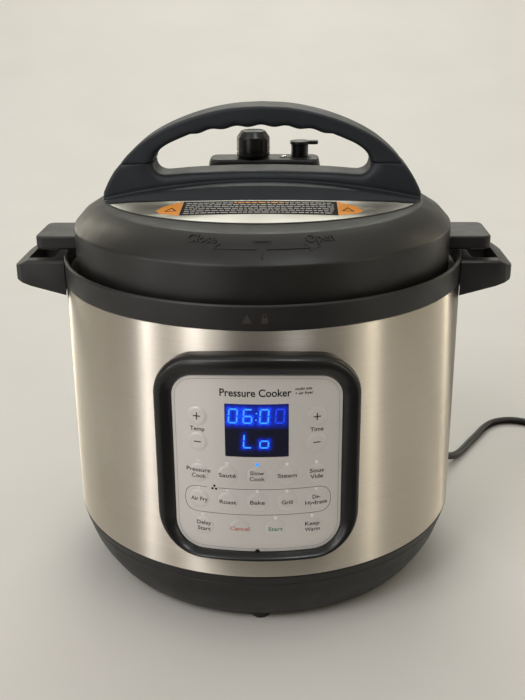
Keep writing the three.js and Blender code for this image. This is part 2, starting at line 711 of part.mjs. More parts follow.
function steamPipe() {
  const profile = [[1.8, 266], [6.5, 266], [6.5, 270], [3.4, 270], [3.4, 317.5], [1.8, 317.5]];
  return moved(revolve(profile, 12), STEAM_VALVE.x, STEAM_VALVE.y, 0);
}

function steamReleaseValve() {
  const { x, y, r, z } = STEAM_VALVE;
  return moved(revolve([[0, z[0] + 9], [4.1, z[0] + 9], [4.1, z[0]], [r - 1, z[0]], [r, z[0] + 1],
    [r, z[1] - 5], [r - 3.2, z[1]], [0, z[1]]], 20), x, y, 0);
}

function floatValve() {
  const { x, y, r, z } = FLOAT;
  return moved(revolve([[0, z[0] - 2], [4.5, z[0] - 2], [4.5, z[0]], [r, z[0]], [r, z[1] - 0.6],
    [r - 0.6, z[1]], [0, z[1]]], 10), x, y, 0);
}

function quickReleaseButton() {
  const { x, y, r, z } = BUTTON;
  const body = moved(revolve([[0, z[0]], [r, z[0]], [r, z[1] - 1], [r - 1, z[1]], [0, z[1]]], 16),
    x, y, 0);
  return join(body, slab(rounded(x + 4, x + 15.3, y - 3.5, y + 3.5, 2, 2), z[1] - 4, z[1] - 0.6));
}

function antiBlockShield() {
  const cup = revolve([[0, 262.4], [13, 262.4], [15, 264.4], [15, 272.6], [13.6, 272.6],
    [13.6, 263.8], [0, 263.8]], 16);
  const slots = [];
  for (let i = 0; i < 4; i += 1) slots.push(turned(box([12, 17], [-2, 2], [266, 271]), 90 * i));
  return moved(cut(cup, ...slots), STEAM_VALVE.x, STEAM_VALVE.y, 0);
}

// ---------- assembly ----------
const cooker = new THREE.Group();

function add(parent, name, look, shape) {
  const [color, roughness, metalness] = LOOKS[look];
  const geometry = BufferGeometryUtils.toCreasedNormals(toGeometry(shape), rad(30));
  const material = new THREE.MeshStandardMaterial({ color, roughness, metalness });
  const mesh = new THREE.Mesh(geometry, material);
  mesh.name = name;
  parent.add(mesh);
}

function addBase(group) {
  add(group, 'base_housing', 'black', baseHousing());
  add(group, 'bottom_cover', 'black', bottomCover());
  const places = footPlaces();
  ['front', 'right', 'back', 'left'].forEach((side, i) => {
    add(group, `foot_${side}`, 'rubber', foot(places[i]));
  });
  add(group, 'outer_shell', 'steel', outerShell());
  add(group, 'top_ring', 'black', topRing());
  add(group, 'side_handle_right', 'black', sideHandle(1));
  add(group, 'side_handle_left', 'black', sideHandle(-1));
  add(group, 'inner_housing', 'alu', innerHousing());
  add(group, 'locking_flange', 'steel', lockingFlange());
  add(group, 'heating_plate', 'alu', heatingPlate());
  add(group, 'temperature_sensor', 'alu', temperatureSensor());
  add(group, 'sensor_spring', 'chrome', sensorSpring());
  add(group, 'power_board', 'board', powerBoard());
  add(group, 'condensation_collector', 'white', condensationCollector());
}

function addPanel(group) {
  add(group, 'panel_bezel', 'satin', panelBezel());
  add(group, 'panel_face', 'face', panelFace());
  add(group, 'display_window', 'glass', displayWindow());
  add(group, 'display_module', 'white', displayModule());
  add(group, 'control_board', 'board', controlBoard());
  for (const item of allKeys()) add(group, item.name, 'face', key(item));
}

function addLead(group) {
  add(group, 'mains_inlet', 'black', mainsInlet());
  add(group, 'strain_relief', 'rubber', strainRelief());
  add(group, 'power_cord', 'rubber', powerCord());
  add(group, 'cord_coil', 'rubber', cordCoil());
  add(group, 'plug', 'rubber', plug());
}

function addLid(group) {
  add(group, 'sealing_ring', 'silicone', sealingRing());
  add(group, 'ring_rack', 'chrome', ringRack());
  add(group, 'lid_cover', 'black', lidCover());
  add(group, 'lid_plate', 'steel', lidPlate());
  add(group, 'inner_lid', 'pot', innerLid());
  add(group, 'lid_handle_lower', 'slate', handleLower());
  add(group, 'lid_handle_upper', 'strap', handleUpper());
  add(group, 'steam_pipe', 'chrome', steamPipe());
  add(group, 'steam_release_valve', 'black', steamReleaseValve());
  add(group, 'float_valve', 'chrome', floatValve());
  add(group, 'quick_release_button', 'black', quickReleaseButton());
  add(group, 'anti_block_shield', 'pot', antiBlockShield());
}

addBase(cooker);
addPanel(cooker);
addLead(cooker);
add(cooker, 'inner_pot', 'pot', innerPot());
addLid(cooker);

export default cooker;
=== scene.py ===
# Electric pressure cooker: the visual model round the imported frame.
# Shapes are drawn in millimetres and placed in metres. The panel faces -Y.
import math

import bmesh
import bpy
from mathutils import Matrix, Vector


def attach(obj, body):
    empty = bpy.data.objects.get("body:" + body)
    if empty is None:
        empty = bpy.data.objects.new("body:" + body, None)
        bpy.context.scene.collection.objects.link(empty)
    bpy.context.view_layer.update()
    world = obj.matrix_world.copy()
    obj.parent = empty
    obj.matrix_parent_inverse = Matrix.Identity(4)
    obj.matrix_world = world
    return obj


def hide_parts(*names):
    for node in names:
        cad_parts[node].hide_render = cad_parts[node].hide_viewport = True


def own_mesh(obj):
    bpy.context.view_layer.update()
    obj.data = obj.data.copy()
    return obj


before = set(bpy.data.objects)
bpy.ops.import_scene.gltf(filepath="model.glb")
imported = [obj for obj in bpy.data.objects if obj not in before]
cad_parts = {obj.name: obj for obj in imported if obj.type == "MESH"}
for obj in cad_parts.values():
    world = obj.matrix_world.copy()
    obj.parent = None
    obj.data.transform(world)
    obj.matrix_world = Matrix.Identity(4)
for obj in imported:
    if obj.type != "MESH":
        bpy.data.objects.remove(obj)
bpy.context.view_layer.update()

MM = 0.001
FACE_R = 156.0          # radius of the control panel's front
SHELL_R = 151.0
RIM_R = 151.35         # radius of the black ring over the shell
TAU = 2 * math.pi
rad = math.radians


def new_object(name, data):
    obj = bpy.data.objects.new(name, data)
    bpy.context.scene.collection.objects.link(obj)
    return obj


def around(radius, angle):
    """A place in plan, at an angle in radians round from the front."""
    return radius * math.sin(angle), -radius * math.cos(angle)


# ---------- camera ----------
CAM_AT = (0.0238, -0.7426, 0.4396)
CAM_HEADING = math.atan2(0.0332, 0.9995)   # turned towards -X, from +Y
CAM_PITCH = rad(20.3)
CAM_ROLL = rad(-0.516)
CAM_LENS = 50.6


def make_camera():
    cam = new_object("camera", bpy.data.cameras.new("camera"))
    cam.data.lens = CAM_LENS
    cam.data.sensor_width = 36
    turn = Matrix.Rotation(CAM_HEADING, 4, "Z") @ Matrix.Rotation(rad(90) - CAM_PITCH, 4, "X")
    cam.matrix_world = Matrix.Translation(CAM_AT) @ turn @ Matrix.Rotation(CAM_ROLL, 4, "Z")
    cam.data.clip_end = 50
    bpy.context.scene.camera = cam


make_camera()


# ---------- materials ----------
class Nodes:
    """The node tree of a new material or world, built with short calls."""

    def __init__(self, name, kind="materials", end="Principled BSDF", **shader):
        self.owner = getattr(bpy.data, kind).new(name)
        self.owner.use_nodes = True
        self.tree = self.owner.node_tree
        self.shader = self.tree.nodes[end]
        for key, value in shader.items():
            self.shader.inputs[key.replace("_", " ")].default_value = value

    def add(self, kind, **settings):
        node = self.tree.nodes.new("ShaderNode" + kind)
        for key, value in settings.items():
            setattr(node, key, value)
        return node

    def link(self, a, b):
        self.tree.links.new(a, b)

    def place(self):
        return self.add("TexCoord").outputs["Object"]

    def math(self, operation, a, b=None):
        node = self.add("Math", operation=operation)
        for socket, value in zip(node.inputs, (a, b)):
            if isinstance(value, (int, float)):
                socket.default_value = value
            elif value is not None:
                self.link(value, socket)
        return node.outputs[0]

    def noise(self, vector, scale, detail=2.0, rough=0.5):
        node = self.add("TexNoise")
        node.inputs["Scale"].default_value = scale
        node.inputs["Detail"].default_value = detail
        node.inputs["Roughness"].default_value = rough
        self.link(vector, node.inputs["Vector"])
        return node.outputs["Fac"]

    def spread(self, value, low, high, start=0.3, end=0.7, **settings):
        node = self.add("MapRange", **settings)
        for key, number in zip(("From Min", "From Max", "To Min", "To Max"), (start, end, low, high)):
            node.inputs[key].default_value = number
        self.link(value, node.inputs["Value"])
        return node.outputs[0]

    def ramp(self, value, *stops):
        node = self.add("ValToRGB")
        ramp = node.color_ramp
        while len(ramp.elements) < len(stops):
            ramp.elements.new(0.5)
        for element, (at, color) in zip(ramp.elements, stops):
            element.position = at
            element.color = (*color, 1)
        self.link(value, node.inputs["Fac"])
        return node.outputs["Color"]

    def bump(self, height, strength, distance):
        node = self.add("Bump")
        node.inputs["Strength"].default_value = strength
        node.inputs["Distance"].default_value = distance
        self.link(height, node.inputs["Height"])
        self.link(node.outputs["Normal"], self.shader.inputs["Normal"])

    def to(self, value, socket):
        self.link(value, self.shader.inputs[socket])

    def mottle(self, scale, detail, low, high):
        """A base colour that drifts between two tones."""
        self.to(self.ramp(self.noise(self.place(), scale, detail), (0.3, low), (0.7, high)), "Base Color")

    def bearing(self, x, y):
        return self.math("ARCTAN2", x, self.math("MULTIPLY", y, -1.0))

    def turned(self, along, across):
        """A place on a turned surface: slow round the axis, quick up and out from it."""
        split = self.add("SeparateXYZ")
        self.link(self.place(), split.inputs[0])
        x, y, z = split.outputs
        out = self.math("SQRT", self.math("ADD", self.math("MULTIPLY", x, x), self.math("MULTIPLY", y, y)))
        join = self.add("CombineXYZ")
        for value, share, socket in zip((self.bearing(x, y), out, z), (along, across, across), join.inputs):
            self.link(self.math("MULTIPLY", value, share), socket)
        return join.outputs[0]


def shade(color, k):
    return tuple(min(1.0, c * k) for c in color)


def plastic(name, color, rough, grain, depth, vary=0.12, specular=0.5):
    m = Nodes(name, Roughness=rough, Specular_IOR_Level=specular)
    m.mottle(18, 3, shade(color, 1 - vary), shade(color, 1 + vary))
    at = m.place()
    m.to(m.spread(m.noise(at, 55, 4), rough * 0.88, min(1, rough * 1.14)), "Roughness")
    m.bump(m.noise(at, grain, 2, 0.6), depth, 0.0002)
    return m.owner


def steel(name, color, rough, across=2600.0, turned=True, anisotropic=0.0):
    m = Nodes(name, Metallic=1.0, Anisotropic=anisotropic)
    if turned:
        at = m.turned(2.0, across)
    else:
        mapping = m.add("Mapping")
        mapping.inputs["Scale"].default_value = (8.0, across, across)
        m.link(m.place(), mapping.inputs["Vector"])
        at = mapping.outputs[0]
    fine = m.noise(at, 1.0, 3, 0.7)
    broad = m.noise(m.place(), 9, 2)
    m.to(m.ramp(fine, (0.3, shade(color, 0.9)), (0.7, shade(color, 1.06))), "Base Color")
    both = m.math("ADD", m.math("MULTIPLY", fine, 0.7), m.math("MULTIPLY", broad, 0.3))
    m.to(m.spread(both, rough * 0.75, rough * 1.3), "Roughness")
    m.bump(fine, 0.12, 0.00006)
    if anisotropic:
        tangent = m.add("Tangent", direction_type="RADIAL", axis="Z")
        m.link(tangent.outputs[0], m.shader.inputs["Tangent"])
        m.shader.inputs["Anisotropic Rotation"].default_value = 0.25
    return m.owner


def film(name, color):
    m = Nodes(name, Metallic=0.25, Roughness=0.36)
    at = m.place()
    spark = m.noise(at, 5200, 1)
    m.to(m.ramp(spark, (0.35, shade(color, 0.93)), (0.7, shade(color, 1.06))), "Base Color")
    m.to(m.spread(m.noise(at, 70, 3), 0.3, 0.42), "Roughness")
    m.bump(spark, 0.05, 0.00005)
    return m.owner


def lit(name, color, strength):
    m = Nodes(name, Roughness=0.3, Emission_Color=(*color, 1), Emission_Strength=strength)
    m.mottle(900, 2, shade(color, 0.5), shade(color, 0.6))
    return m.owner


def display_glass():
    m = Nodes("display_black", Roughness=0.12, Coat_Weight=0.6, Emission_Strength=1.0,
              Base_Color=(0.004, 0.005, 0.014, 1))
    m.to(m.spread(m.noise(m.place(), 120, 3), 0.1, 0.18), "Roughness")
    glow = m.add("Attribute", attribute_name="glow").outputs["Fac"]
    m.to(m.ramp(glow, (0.0, (0.0, 0.0, 0.006)), (0.3, (0.0, 0.004, 0.13)), (0.7, (0.0, 0.02, 0.5)),
                (1.0, (0.004, 0.06, 0.95))), "Emission Color")
    return m.owner


def soft(name, low, high, cloud, grain, depth, **shader):
    """A milky or see-through material: silicone or frosted plastic."""
    m = Nodes(name, **shader)
    m.mottle(cloud, 3, low, high)
    m.bump(m.noise(m.place(), grain, 2), depth, 0.0001)
    return m.owner


# colour, roughness, scale and depth of the grain, and where given the drift of colour and the specular level
PLASTICS = {
    "black_plastic": ((0.0105, 0.0105, 0.0105), 0.44, 2200, 0.12, 0.12, 0.4),
    "lid_plastic": ((0.0125, 0.0122, 0.0115), 0.42, 2600, 0.16, 0.12, 0.4),
    "satin_black": ((0.006, 0.0062, 0.0068), 0.3, 1500, 0.05, 0.12, 0.42),
    "handle_slate": ((0.015, 0.019, 0.025), 0.5, 2600, 0.15, 0.12, 0.35),
    "handle_strap": ((0.015, 0.019, 0.025), 0.5, 2600, 0.15, 0.12, 0.35),
    "circuit_board": ((0.02, 0.13, 0.05), 0.45, 700, 0.1),
    "white_plastic": ((0.7, 0.7, 0.68), 0.4, 1200, 0.08, 0.04),
    "rubber": ((0.014, 0.014, 0.014), 0.75, 900, 0.25),
    "cord_rubber": ((0.011, 0.011, 0.012), 0.42, 1500, 0.1),
    "ink_dark": ((0.012, 0.012, 0.013), 0.6, 2500, 0.05, 0.08, 0.15),
    "ink_red": ((0.5, 0.07, 0.055), 0.5, 2500, 0.05, 0.08),
    "ink_green": ((0.05, 0.22, 0.09), 0.5, 2500, 0.05, 0.08),
    "ink_faint": ((0.3, 0.29, 0.285), 0.45, 2500, 0.05, 0.05),
    "mark_faint": ((0.035, 0.025, 0.021), 0.5, 2500, 0.05, 0.08),
    "label_orange": ((0.92, 0.34, 0.03), 0.4, 2000, 0.05, 0.05),
    "label_grey": ((0.72, 0.72, 0.68), 0.45, 2000, 0.05, 0.05),
    "lamp_clear": ((0.82, 0.83, 0.86), 0.2, 900, 0.05, 0.03),
}
# colour, roughness, scale of the brushing, and where given whether it is turned and how anisotropic
STEELS = {
    "brushed_steel": ((0.62, 0.575, 0.51), 0.38, 2600.0, True, 1.0),
    "plate_steel": ((0.8, 0.785, 0.72), 0.4, 2600.0, False, 0.9),
    "pot_steel": ((0.7, 0.7, 0.7), 0.2, 1500.0),
    "aluminium": ((0.62, 0.62, 0.63), 0.42, 900.0),
    "spring_steel": ((0.78, 0.78, 0.79), 0.14, 700.0),
    "plug_brass": ((0.78, 0.62, 0.3), 0.2, 500.0),
}
MATERIALS = {
    **{name: plastic(name, *row) for name, row in PLASTICS.items()},
    **{name: steel(name, *row) for name, row in STEELS.items()},
    "clear_plastic": soft("clear_plastic", (0.68, 0.7, 0.7), (0.75, 0.77, 0.77), 60, 1200, 0.15,
                          Roughness=0.32, Transmission_Weight=0.7),
    "silicone": soft("silicone", (0.68, 0.67, 0.63), (0.76, 0.75, 0.71), 40, 900, 0.1,
                     Roughness=0.45, Subsurface_Weight=0.25),
    "panel_silver": film("panel_silver", (0.74, 0.72, 0.705)),
    "display_black": display_glass(),
    "display_blue": lit("display_blue", (0.035, 0.27, 1.0), 1.15),
    "display_dim": lit("display_dim", (0.008, 0.06, 0.9), 0.75),
}


# ---------- pieces ----------
def cleaned(mesh, near, flatten=False):
    """The same mesh with its doubled points merged and its faces turned outwards."""
    work = bmesh.new()
    work.from_mesh(mesh)
    bmesh.ops.remove_doubles(work, verts=work.verts, dist=near)
    if flatten:
        bmesh.ops.dissolve_limit(work, angle_limit=rad(1.2), verts=work.verts, edges=work.edges)
    bmesh.ops.recalc_face_normals(work, faces=work.faces)
    work.to_mesh(mesh)
    work.free()
    return mesh


def new_mesh(name, points, faces):
    mesh = bpy.data.meshes.new(name)
    mesh.from_pydata(points, [], faces)
    return mesh


def piece(name, shape, material, body, stands_for=(), **edges):
    """A mesh piece from (points in mm, faces), smooth but for its sharp edges."""
    mesh = new_mesh(name, [Vector(p) * MM for p in shape[0]], shape[1])
    return finish_piece(cleaned(mesh, 1e-7), material, body, stands_for, **edges)


def from_cad(name, node, material, body, bevel, segments, angle):
    """A rounded copy of a CAD node that has the right shape."""
    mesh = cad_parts[node].data.copy()
    mesh.name = name
    return finish_piece(cleaned(mesh, 1e-6, True), material, body, node, bevel, segments, angle=angle)


def finish_piece(mesh, material, body, stands_for, bevel=0.0, segments=3, sharp=32, angle=30):
    mesh.polygons.foreach_set("use_smooth", [True] * len(mesh.polygons))
    obj = new_object(mesh.name, mesh)
    mesh.materials.clear()
    mesh.materials.append(MATERIALS[material])
    if bevel:
        mod = obj.modifiers.new("bevel", "BEVEL")
        mod.width = bevel * MM
        mod.segments = segments
        mod.limit_method = "ANGLE"
        mod.angle_limit = rad(angle)
        mod.harden_normals = True
    else:
        mesh.set_sharp_from_angle(angle=rad(sharp))
    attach(obj, body)
    if stands_for:
        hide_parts(stands_for)
    return obj


def loft(rings, closed_ring=True, closed_path=False, caps=True):
    n = len(rings[0])
    points = [p for ring in rings for p in ring]
    faces = []
    spans = len(rings) if closed_path else len(rings) - 1
    for k in range(spans):
        for i in range(n if closed_ring else n - 1):
            a, b = k * n + i, k * n + (i + 1) % n
            c, d = ((k + 1) % len(rings)) * n + (i + 1) % n, ((k + 1) % len(rings)) * n + i
            faces.append((a, b, c, d))
    if caps and closed_ring and not closed_path:
        faces.append(tuple(range(n))[::-1])
        faces.append(tuple(range((len(rings) - 1) * n, len(rings) * n)))
    return points, faces


def round_off(points, closed=True, steps=5):
    """A 2-D path whose corners are rounded by each point's third number."""
    out = []
    n = len(points)
    for i, point in enumerate(points):
        r = point[2] if len(point) > 2 else 0
        here = Vector(point[:2])
        if not r or (not closed and i in (0, n - 1)):
            out.append(tuple(here))
            continue
        a = Vector(points[i - 1][:2]) - here
        b = Vector(points[(i + 1) % n][:2]) - here
        half = a.angle(b) / 2
        cut = min(r / math.tan(half), 0.49 * a.length, 0.49 * b.length)
        start, end = here + a.normalized() * cut, here + b.normalized() * cut
        for k in range(steps + 1):
            t = k / steps
            out.append(tuple(start.lerp(here, t).lerp(here.lerp(end, t), t)))
    return out


def smooth_path(points, per=6):
    """A Catmull-Rom path through points of any dimension."""
    pts = [Vector(p) for p in points]
    pts = [pts[0] * 2 - pts[1], *pts, pts[-1] * 2 - pts[-2]]
    out = []
    for p0, p1, p2, p3 in zip(pts, pts[1:], pts[2:], pts[3:]):
        for k in range(per):
            t = k / per
            out.append(tuple(0.5 * (2 * p1 + (p2 - p0) * t + (2 * p0 - 5 * p1 + 4 * p2 - p3) * t * t
                                    + (3 * p1 - p0 - 3 * p2 + p3) * t ** 3)))
    out.append(tuple(pts[-2]))
    return out


def lathe(profile, seg=192, at=(0, 0), span=(0, 360), steps=5):
    """A closed profile of (radius, height, rounding) turned round a vertical axis."""
    profile = round_off(profile, steps=steps)
    start, end = map(rad, span)
    whole = abs(end - start) > TAU - 1e-6
    rings = []
    for k in range(seg if whole else seg + 1):
        a = start + (end - start) * k / seg
        c, s = math.cos(a), math.sin(a)
        rings.append([(at[0] + r * c, at[1] + r * s, z) for r, z in profile])
    return loft(rings, True, whole)


def pointing(direction):
    """A turn that takes the vertical to a direction."""
    w = Vector(direction).normalized()
    u = Vector((0, 0, 1)).cross(w).normalized()
    return Matrix((u, w.cross(u), w)).transposed()


def moved(shape, matrix, origin):
    points, faces = shape
    return [tuple(matrix @ Vector(p) + Vector(origin)) for p in points], faces


def joined(*shapes):
    points, faces = [], []
    for more, tri in shapes:
        faces += [tuple(i + len(points) for i in f) for f in tri]
        points += more
    return points, faces


def wrap(u, z, n):
    """A place on the panel: u round from the front, z up and n out from its face."""
    return (*around(FACE_R + n, u / FACE_R), z)


def spin(points, degrees):
    c, s = math.cos(rad(degrees)), math.sin(rad(degrees))
    return [(x * c - y * s, x * s + y * c, z) for x, y, z in points]


def prism(outline, low, high, place):
    """An outline raised between two heights, put in place by a function of (a, b, height)."""
    return loft([[place(a, b, low) for a, b in outline], [place(a, b, high) for a, b in outline]])


def rounded_box(x0, x1, y0, y1, r, steps=8):
    return round_off([(x0, y0, r), (x1, y0, r), (x1, y1, r), (x0, y1, r)], steps=steps)


def flat(x, y, z):
    return (x, y, z)


# ---------- mains lead ----------
CORD_R = 3.5
LEAD = [
    (122.9, 86, 26), (134.3, 94.1, 26), (145.8, 102.1, 25.8), (155.6, 109.2, 22.3),
    (165.5, 116.8, 15.5), (175.3, 126, 8.6), (184.7, 137.5, 4.7), (194, 152, 3.8),
    (203.5, 168.5, 3.8), (214, 186, 3.8), (224.1, 203.2, 3.8), (235.5, 215.8, 3.8), (248.8, 221.4, 3.8),
    (262.5, 220.6, 3.8), (277.1, 213.3, 3.8), (291, 206.2, 3.8), (304, 199.8, 3.8), (311.5, 196.3, 3.8),
    (324, 190.4, 3.8),
]
COIL_AT = (318, 146.5)
COIL_START = 63
COIL_TURNS = 2.25
PER_TURN = 20


def ease(t):
    t = min(1, max(0, t))
    return t * t * (3 - 2 * t)


def coil_points():
    """A flat turn on the floor, then a climb over it and a second turn on top."""
    points = []
    for k in range(int(COIL_TURNS * PER_TURN) + 1):
        t = k / PER_TURN
        r = 42.3 - 7.3 * min(t, 1) + 7.2 * ease((t - 1.25) / 0.75)
        z = 3.8 + 7.1 * ease((t - 1) / 0.25)
        a = rad(COIL_START - 360 * t)
        points.append((COIL_AT[0] + r * math.cos(a), COIL_AT[1] + r * math.sin(a), z))
    return points


def make_lead():
    end = rad(COIL_START - 360 * COIL_TURNS)
    on = Vector((math.sin(end), -math.cos(end), 0))
    coil = coil_points()
    last = Vector(coil[-1])
    tail = [last + on * far + Vector((0, 0, up)) for far, up in ((10, 0.2), (20, 0.5), (30, 0.5))]
    route = smooth_path([*LEAD, *coil, *tail], 4)
    curve = bpy.data.curves.new("mains_lead", "CURVE")
    curve.dimensions = "3D"
    curve.bevel_depth = CORD_R * MM
    curve.bevel_resolution = 6
    curve.use_fill_caps = True
    spline = curve.splines.new("POLY")
    spline.points.add(len(route) - 1)
    for point, place in zip(spline.points, route):
        point.co = (*(Vector(place) * MM), 1)
    spline.use_smooth = True
    lead = new_object("mains_lead", curve)
    curve.materials.append(MATERIALS["cord_rubber"])
    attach(lead, "base")
    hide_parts("power_cord", "cord_coil")
    plug = make_plug(last + Vector((0, 0, 0.5)), on)
    tie = make_tie()


def make_plug(at, on):
    """A moulded plug with two flat blades and a round earth pin, lying in line with the coil's end."""
    matrix = pointing(on)
    start = 27.5
    relief = [(0, start), (4.2, start, 0.6), (6.4, start + 19), (0, start + 19)]
    ribs = []
    for k in (3, 7, 11, 15):
        r, z = 4.3 + 0.11 * k, start + k
        ribs.append([(0, z), (r, z, 0.4), (r + 1, z + 0.5, 0.5), (r + 0.2, z + 2.2, 0.4), (0, z + 2.2)])
    levels = [(17.5, -2.4), (18.4, -0.9), (20.5, 0), (31, 0), (37, -1.6), (43, -0.4), (48.4, 0), (49.6, -0.5),
              (50, -1.5)]
    rings = [[(a, b, start + k) for a, b in rounded_box(-13 - grow, 13 + grow, -11 - grow, 11 + grow, 5.5, 6)]
             for k, grow in levels]
    body = joined(*[lathe(r, 32) for r in (relief, *ribs)], loft(rings))
    foot = start + 49
    blades = [prism(rounded_box(x - 0.75, x + 0.75, -3.1, 3.1, 0.7, 3), foot, foot + 17.6, flat) for x in (-6.4, 6.4)]
    pin = lathe([(0, foot), (2.35, foot), (2.35, foot + 20, 1.6), (0, foot + 20)], 32, (0, -6.5), steps=6)
    return [piece("plug_body", moved(body, matrix, at), "cord_rubber", "base", "plug"),
            piece("plug_pins", moved(joined(*blades, pin), matrix, at), "plug_brass", "base", bevel=0.25, segments=2)]


def make_tie():
    """A twist tie round the coil's turns."""
    a = rad(150)
    across, up, along = Vector((math.cos(a), math.sin(a), 0)), Vector((0, 0, 1)), Vector((-math.sin(a), math.cos(a), 0))
    outline = rounded_box(-7.9, 8.4, -0.1, 14.75, 4.2, 8)
    inner = rounded_box(-7.3, 7.8, 0.5, 14.15, 3.6, 8)
    middle = Vector((*COIL_AT, 0)) + across * 38.7
    rings = [[middle + across * p + up * (q + 0.12) + along * w for p, q in path]
             for path, w in ((outline, -2.2), (outline, 2.2), (inner, 2.2), (inner, -2.2))]
    band = loft(list(map(list, zip(*rings))), True, True)
    return piece("lead_tie", band, "rubber", "base", bevel=0.2, segments=2)


def make_strain_relief():
    angle = rad(35)
    profile = [(3.7, 146.6), (6.1, 146.6, 0.4), (6.1, 153.2, 0.5)]
    for k in range(7):
        r, outer = 153.8 + 3.0 * k, 6.0 - 0.17 * k
        profile += [(outer - 0.9, r, 0.2), (outer - 0.9, r + 0.9, 0.2), (outer, r + 1.1, 0.3),
                    (outer - 0.1, r + 2.7, 0.3)]
    profile += [(4.5, 175, 0.3), (4.2, 176, 0.4), (3.7, 176)]
    sleeve = moved(lathe(profile, 40, steps=2), pointing((math.cos(angle), math.sin(angle), 0)), (0, 0, 26))
    piece("lead_strain_relief", sleeve, "cord_rubber", "base", "strain_relief")
    from_cad("lead_inlet", "mains_inlet", "black_plastic", "base", 0.5, 3, 40)


make_lead()
make_strain_relief()


# ---------- base ----------
def make_base():
    outer = smooth_path([(129.6, 5.8), (135.5, 13.2), (143.5, 27), (148.7, 41.6)], 8)
    profile = [(98.2, 5.8), (128.4, 5.8), *outer, (148.9, 42.4), (148.6, 42.7), (148.6, 43.1), (149.3, 43.4),
               (150.9, 49.3, 0.4), (150.8, 50.2, 0.3), (149.6, 50.2), (149.6, 57), (146.8, 57), (144.4, 39),
               (132.5, 16), (125.5, 9.2), (98.2, 9.2)]
    piece("base_skirt", lathe(profile, 256), "black_plastic", "base", "base_housing")
    foot = [(0, 0.0), (6.6, 0.0, 0.9), (6.8, 5.6, 0.3), (3.0, 5.6), (3.0, 6), (0, 6)]
    for name, at in (("front", (0, -121)), ("right", (121, 0)), ("back", (0, 121)), ("left", (-121, 0))):
        piece("pad_" + name, lathe(foot, 48, at), "rubber", "base", "foot_" + name)
    make_shell()
    ring = [(149.9, 233.7), (151.3, 233.7, 0.35), (151.35, 249.2, 0.8), (150.6, 250.5, 0.5), (149.2, 250.4, 0.7),
            (148.3, 247.8, 1), (147.7, 239.4, 2.5), (133.2, 239), (133.2, 243.2, 0.4), (131.2, 243.2),
            (131.2, 236.4), (147.0, 236.4), (147.0, 226), (149.9, 226)]
    piece("top_rim", lathe(ring, 256, steps=6), "black_plastic", "base", "top_ring")
    for side in ("right", "left"):
        from_cad("grip_" + side, "side_handle_" + side, "black_plastic", "base", 3.4, 6, 20)
    make_collector()


def cup_ring(half, front, back, corner, z):
    """One level of the collector cup: it follows the shell on one side and is straight on the other."""
    across = [half - 2 * half * k / 16 for k in range(17)]
    arc = [(x, math.sqrt(front ** 2 - x ** 2)) for x in across]
    return [(x, y, z) for x, y in round_off([*arc, (-half, back, corner), (half, back, corner)], steps=6)]


def make_collector():
    """The open cup behind the shell, with a lip, soft lower edges and three thumb ribs."""
    outside = [(25.5, 151.5, 161.6, 2.5, 165), (27.4, 151.5, 163.4, 3.6, 165.7), (28.6, 151.5, 164.6, 4.4, 167.4),
               (28.9, 151.5, 165, 4.8, 170.5), (29.2, 151.5, 165.1, 5, 216.4), (29.8, 151.5, 165.8, 5.4, 216.9),
               (30, 151.5, 166, 5.6, 217.6), (30, 151.5, 166, 5.6, 219.4), (29.7, 151.7, 165.7, 5.4, 220)]
    inside = [(28.2, 153.2, 164.2, 4.2, 220), (27.9, 153.4, 163.9, 4, 219.6), (27.6, 153.4, 163.4, 3.6, 171),
              (26.8, 153.4, 162.8, 3.2, 168.2), (25, 153.6, 161, 2, 167)]
    cup = loft([cup_ring(*level) for level in outside + inside])
    ribs = [prism(rounded_box(-11, 11, z, z + 1.5, 0.7, 4), 164.6, 165.8, lambda a, b, h: (a, h, b))
            for z in (205.5, 208.7, 211.9)]
    piece("collector_cup", joined(cup, *ribs), "clear_plastic", "collector", "condensation_collector", sharp=40)


def make_shell():
    """The steel shell: a thin tube with the opening behind the control panel left out."""
    edge, back, front = 54 / FACE_R, 200, 24
    angles = [edge + (TAU - 2 * edge) * k / back for k in range(back + 1)]
    angles += [TAU - edge + 2 * edge * k / front for k in range(1, front)]
    rows = [(150.55, 50.5), (150.9, 50.7), (151, 51.2), *((151, 80 + 119 * k / 6) for k in range(7)),
            (151, 232.6), (150.9, 233.2), (150.6, 233.4)]
    n = len(angles)
    cells = [(j * n + i, j * n + (i + 1) % n, (j + 1) * n + (i + 1) % n, (j + 1) * n + i)
             for j in range(len(rows) - 1) for i in range(n) if not (3 <= j < 9 and i >= back)]
    used = sorted({i for cell in cells for i in cell})
    index = {old: new for new, old in enumerate(used)}
    sheet = [(angles[i % n], i // n) for i in used], [tuple(index[i] for i in cell) for cell in cells]

    def inward(angle, row):
        return -0.5 if rows[row][0] < 150.8 else -0.8

    def place(angle, row, out):
        return (*around(rows[row][0] + out, angle), rows[row][1])

    piece("steel_shell", thick(sheet, inward, 0, place), "brushed_steel", "base", "outer_shell")


# ---------- control panel ----------
BEZEL = dict(half=70.6, z0=68.9, z1=220, top=28, bottom=34, arch=2.4)
FACE = dict(half=58.15, z0=74.5, z1=205.2, top=15, bottom=20, arch=2.4)
KEY_R = 7.2
SCREEN = (21.2, 146.6, 184.8)
KEYS = [
    ("temp_up", -40.1, 174.3), ("time_up", 40.1, 174.3), ("temp_down", -40.1, 155.7), ("time_down", 40.1, 155.7),
    ("pressure_cook", -40.2, 132.8), ("saute", -20.1, 132.8), ("slow_cook", 0, 132.8), ("steam", 20.1, 132.8),
    ("sous_vide", 40.2, 132.8), ("air_fry", -40.2, 113), ("roast", -20.1, 113), ("bake", 0, 113),
    ("grill", 20.1, 113), ("dehydrate", 40.2, 113), ("delay_start", -37.4, 92.6), ("cancel", -12.3, 92.6),
    ("start", 12.1, 92.6), ("keep_warm", 37.5, 92.6),
]
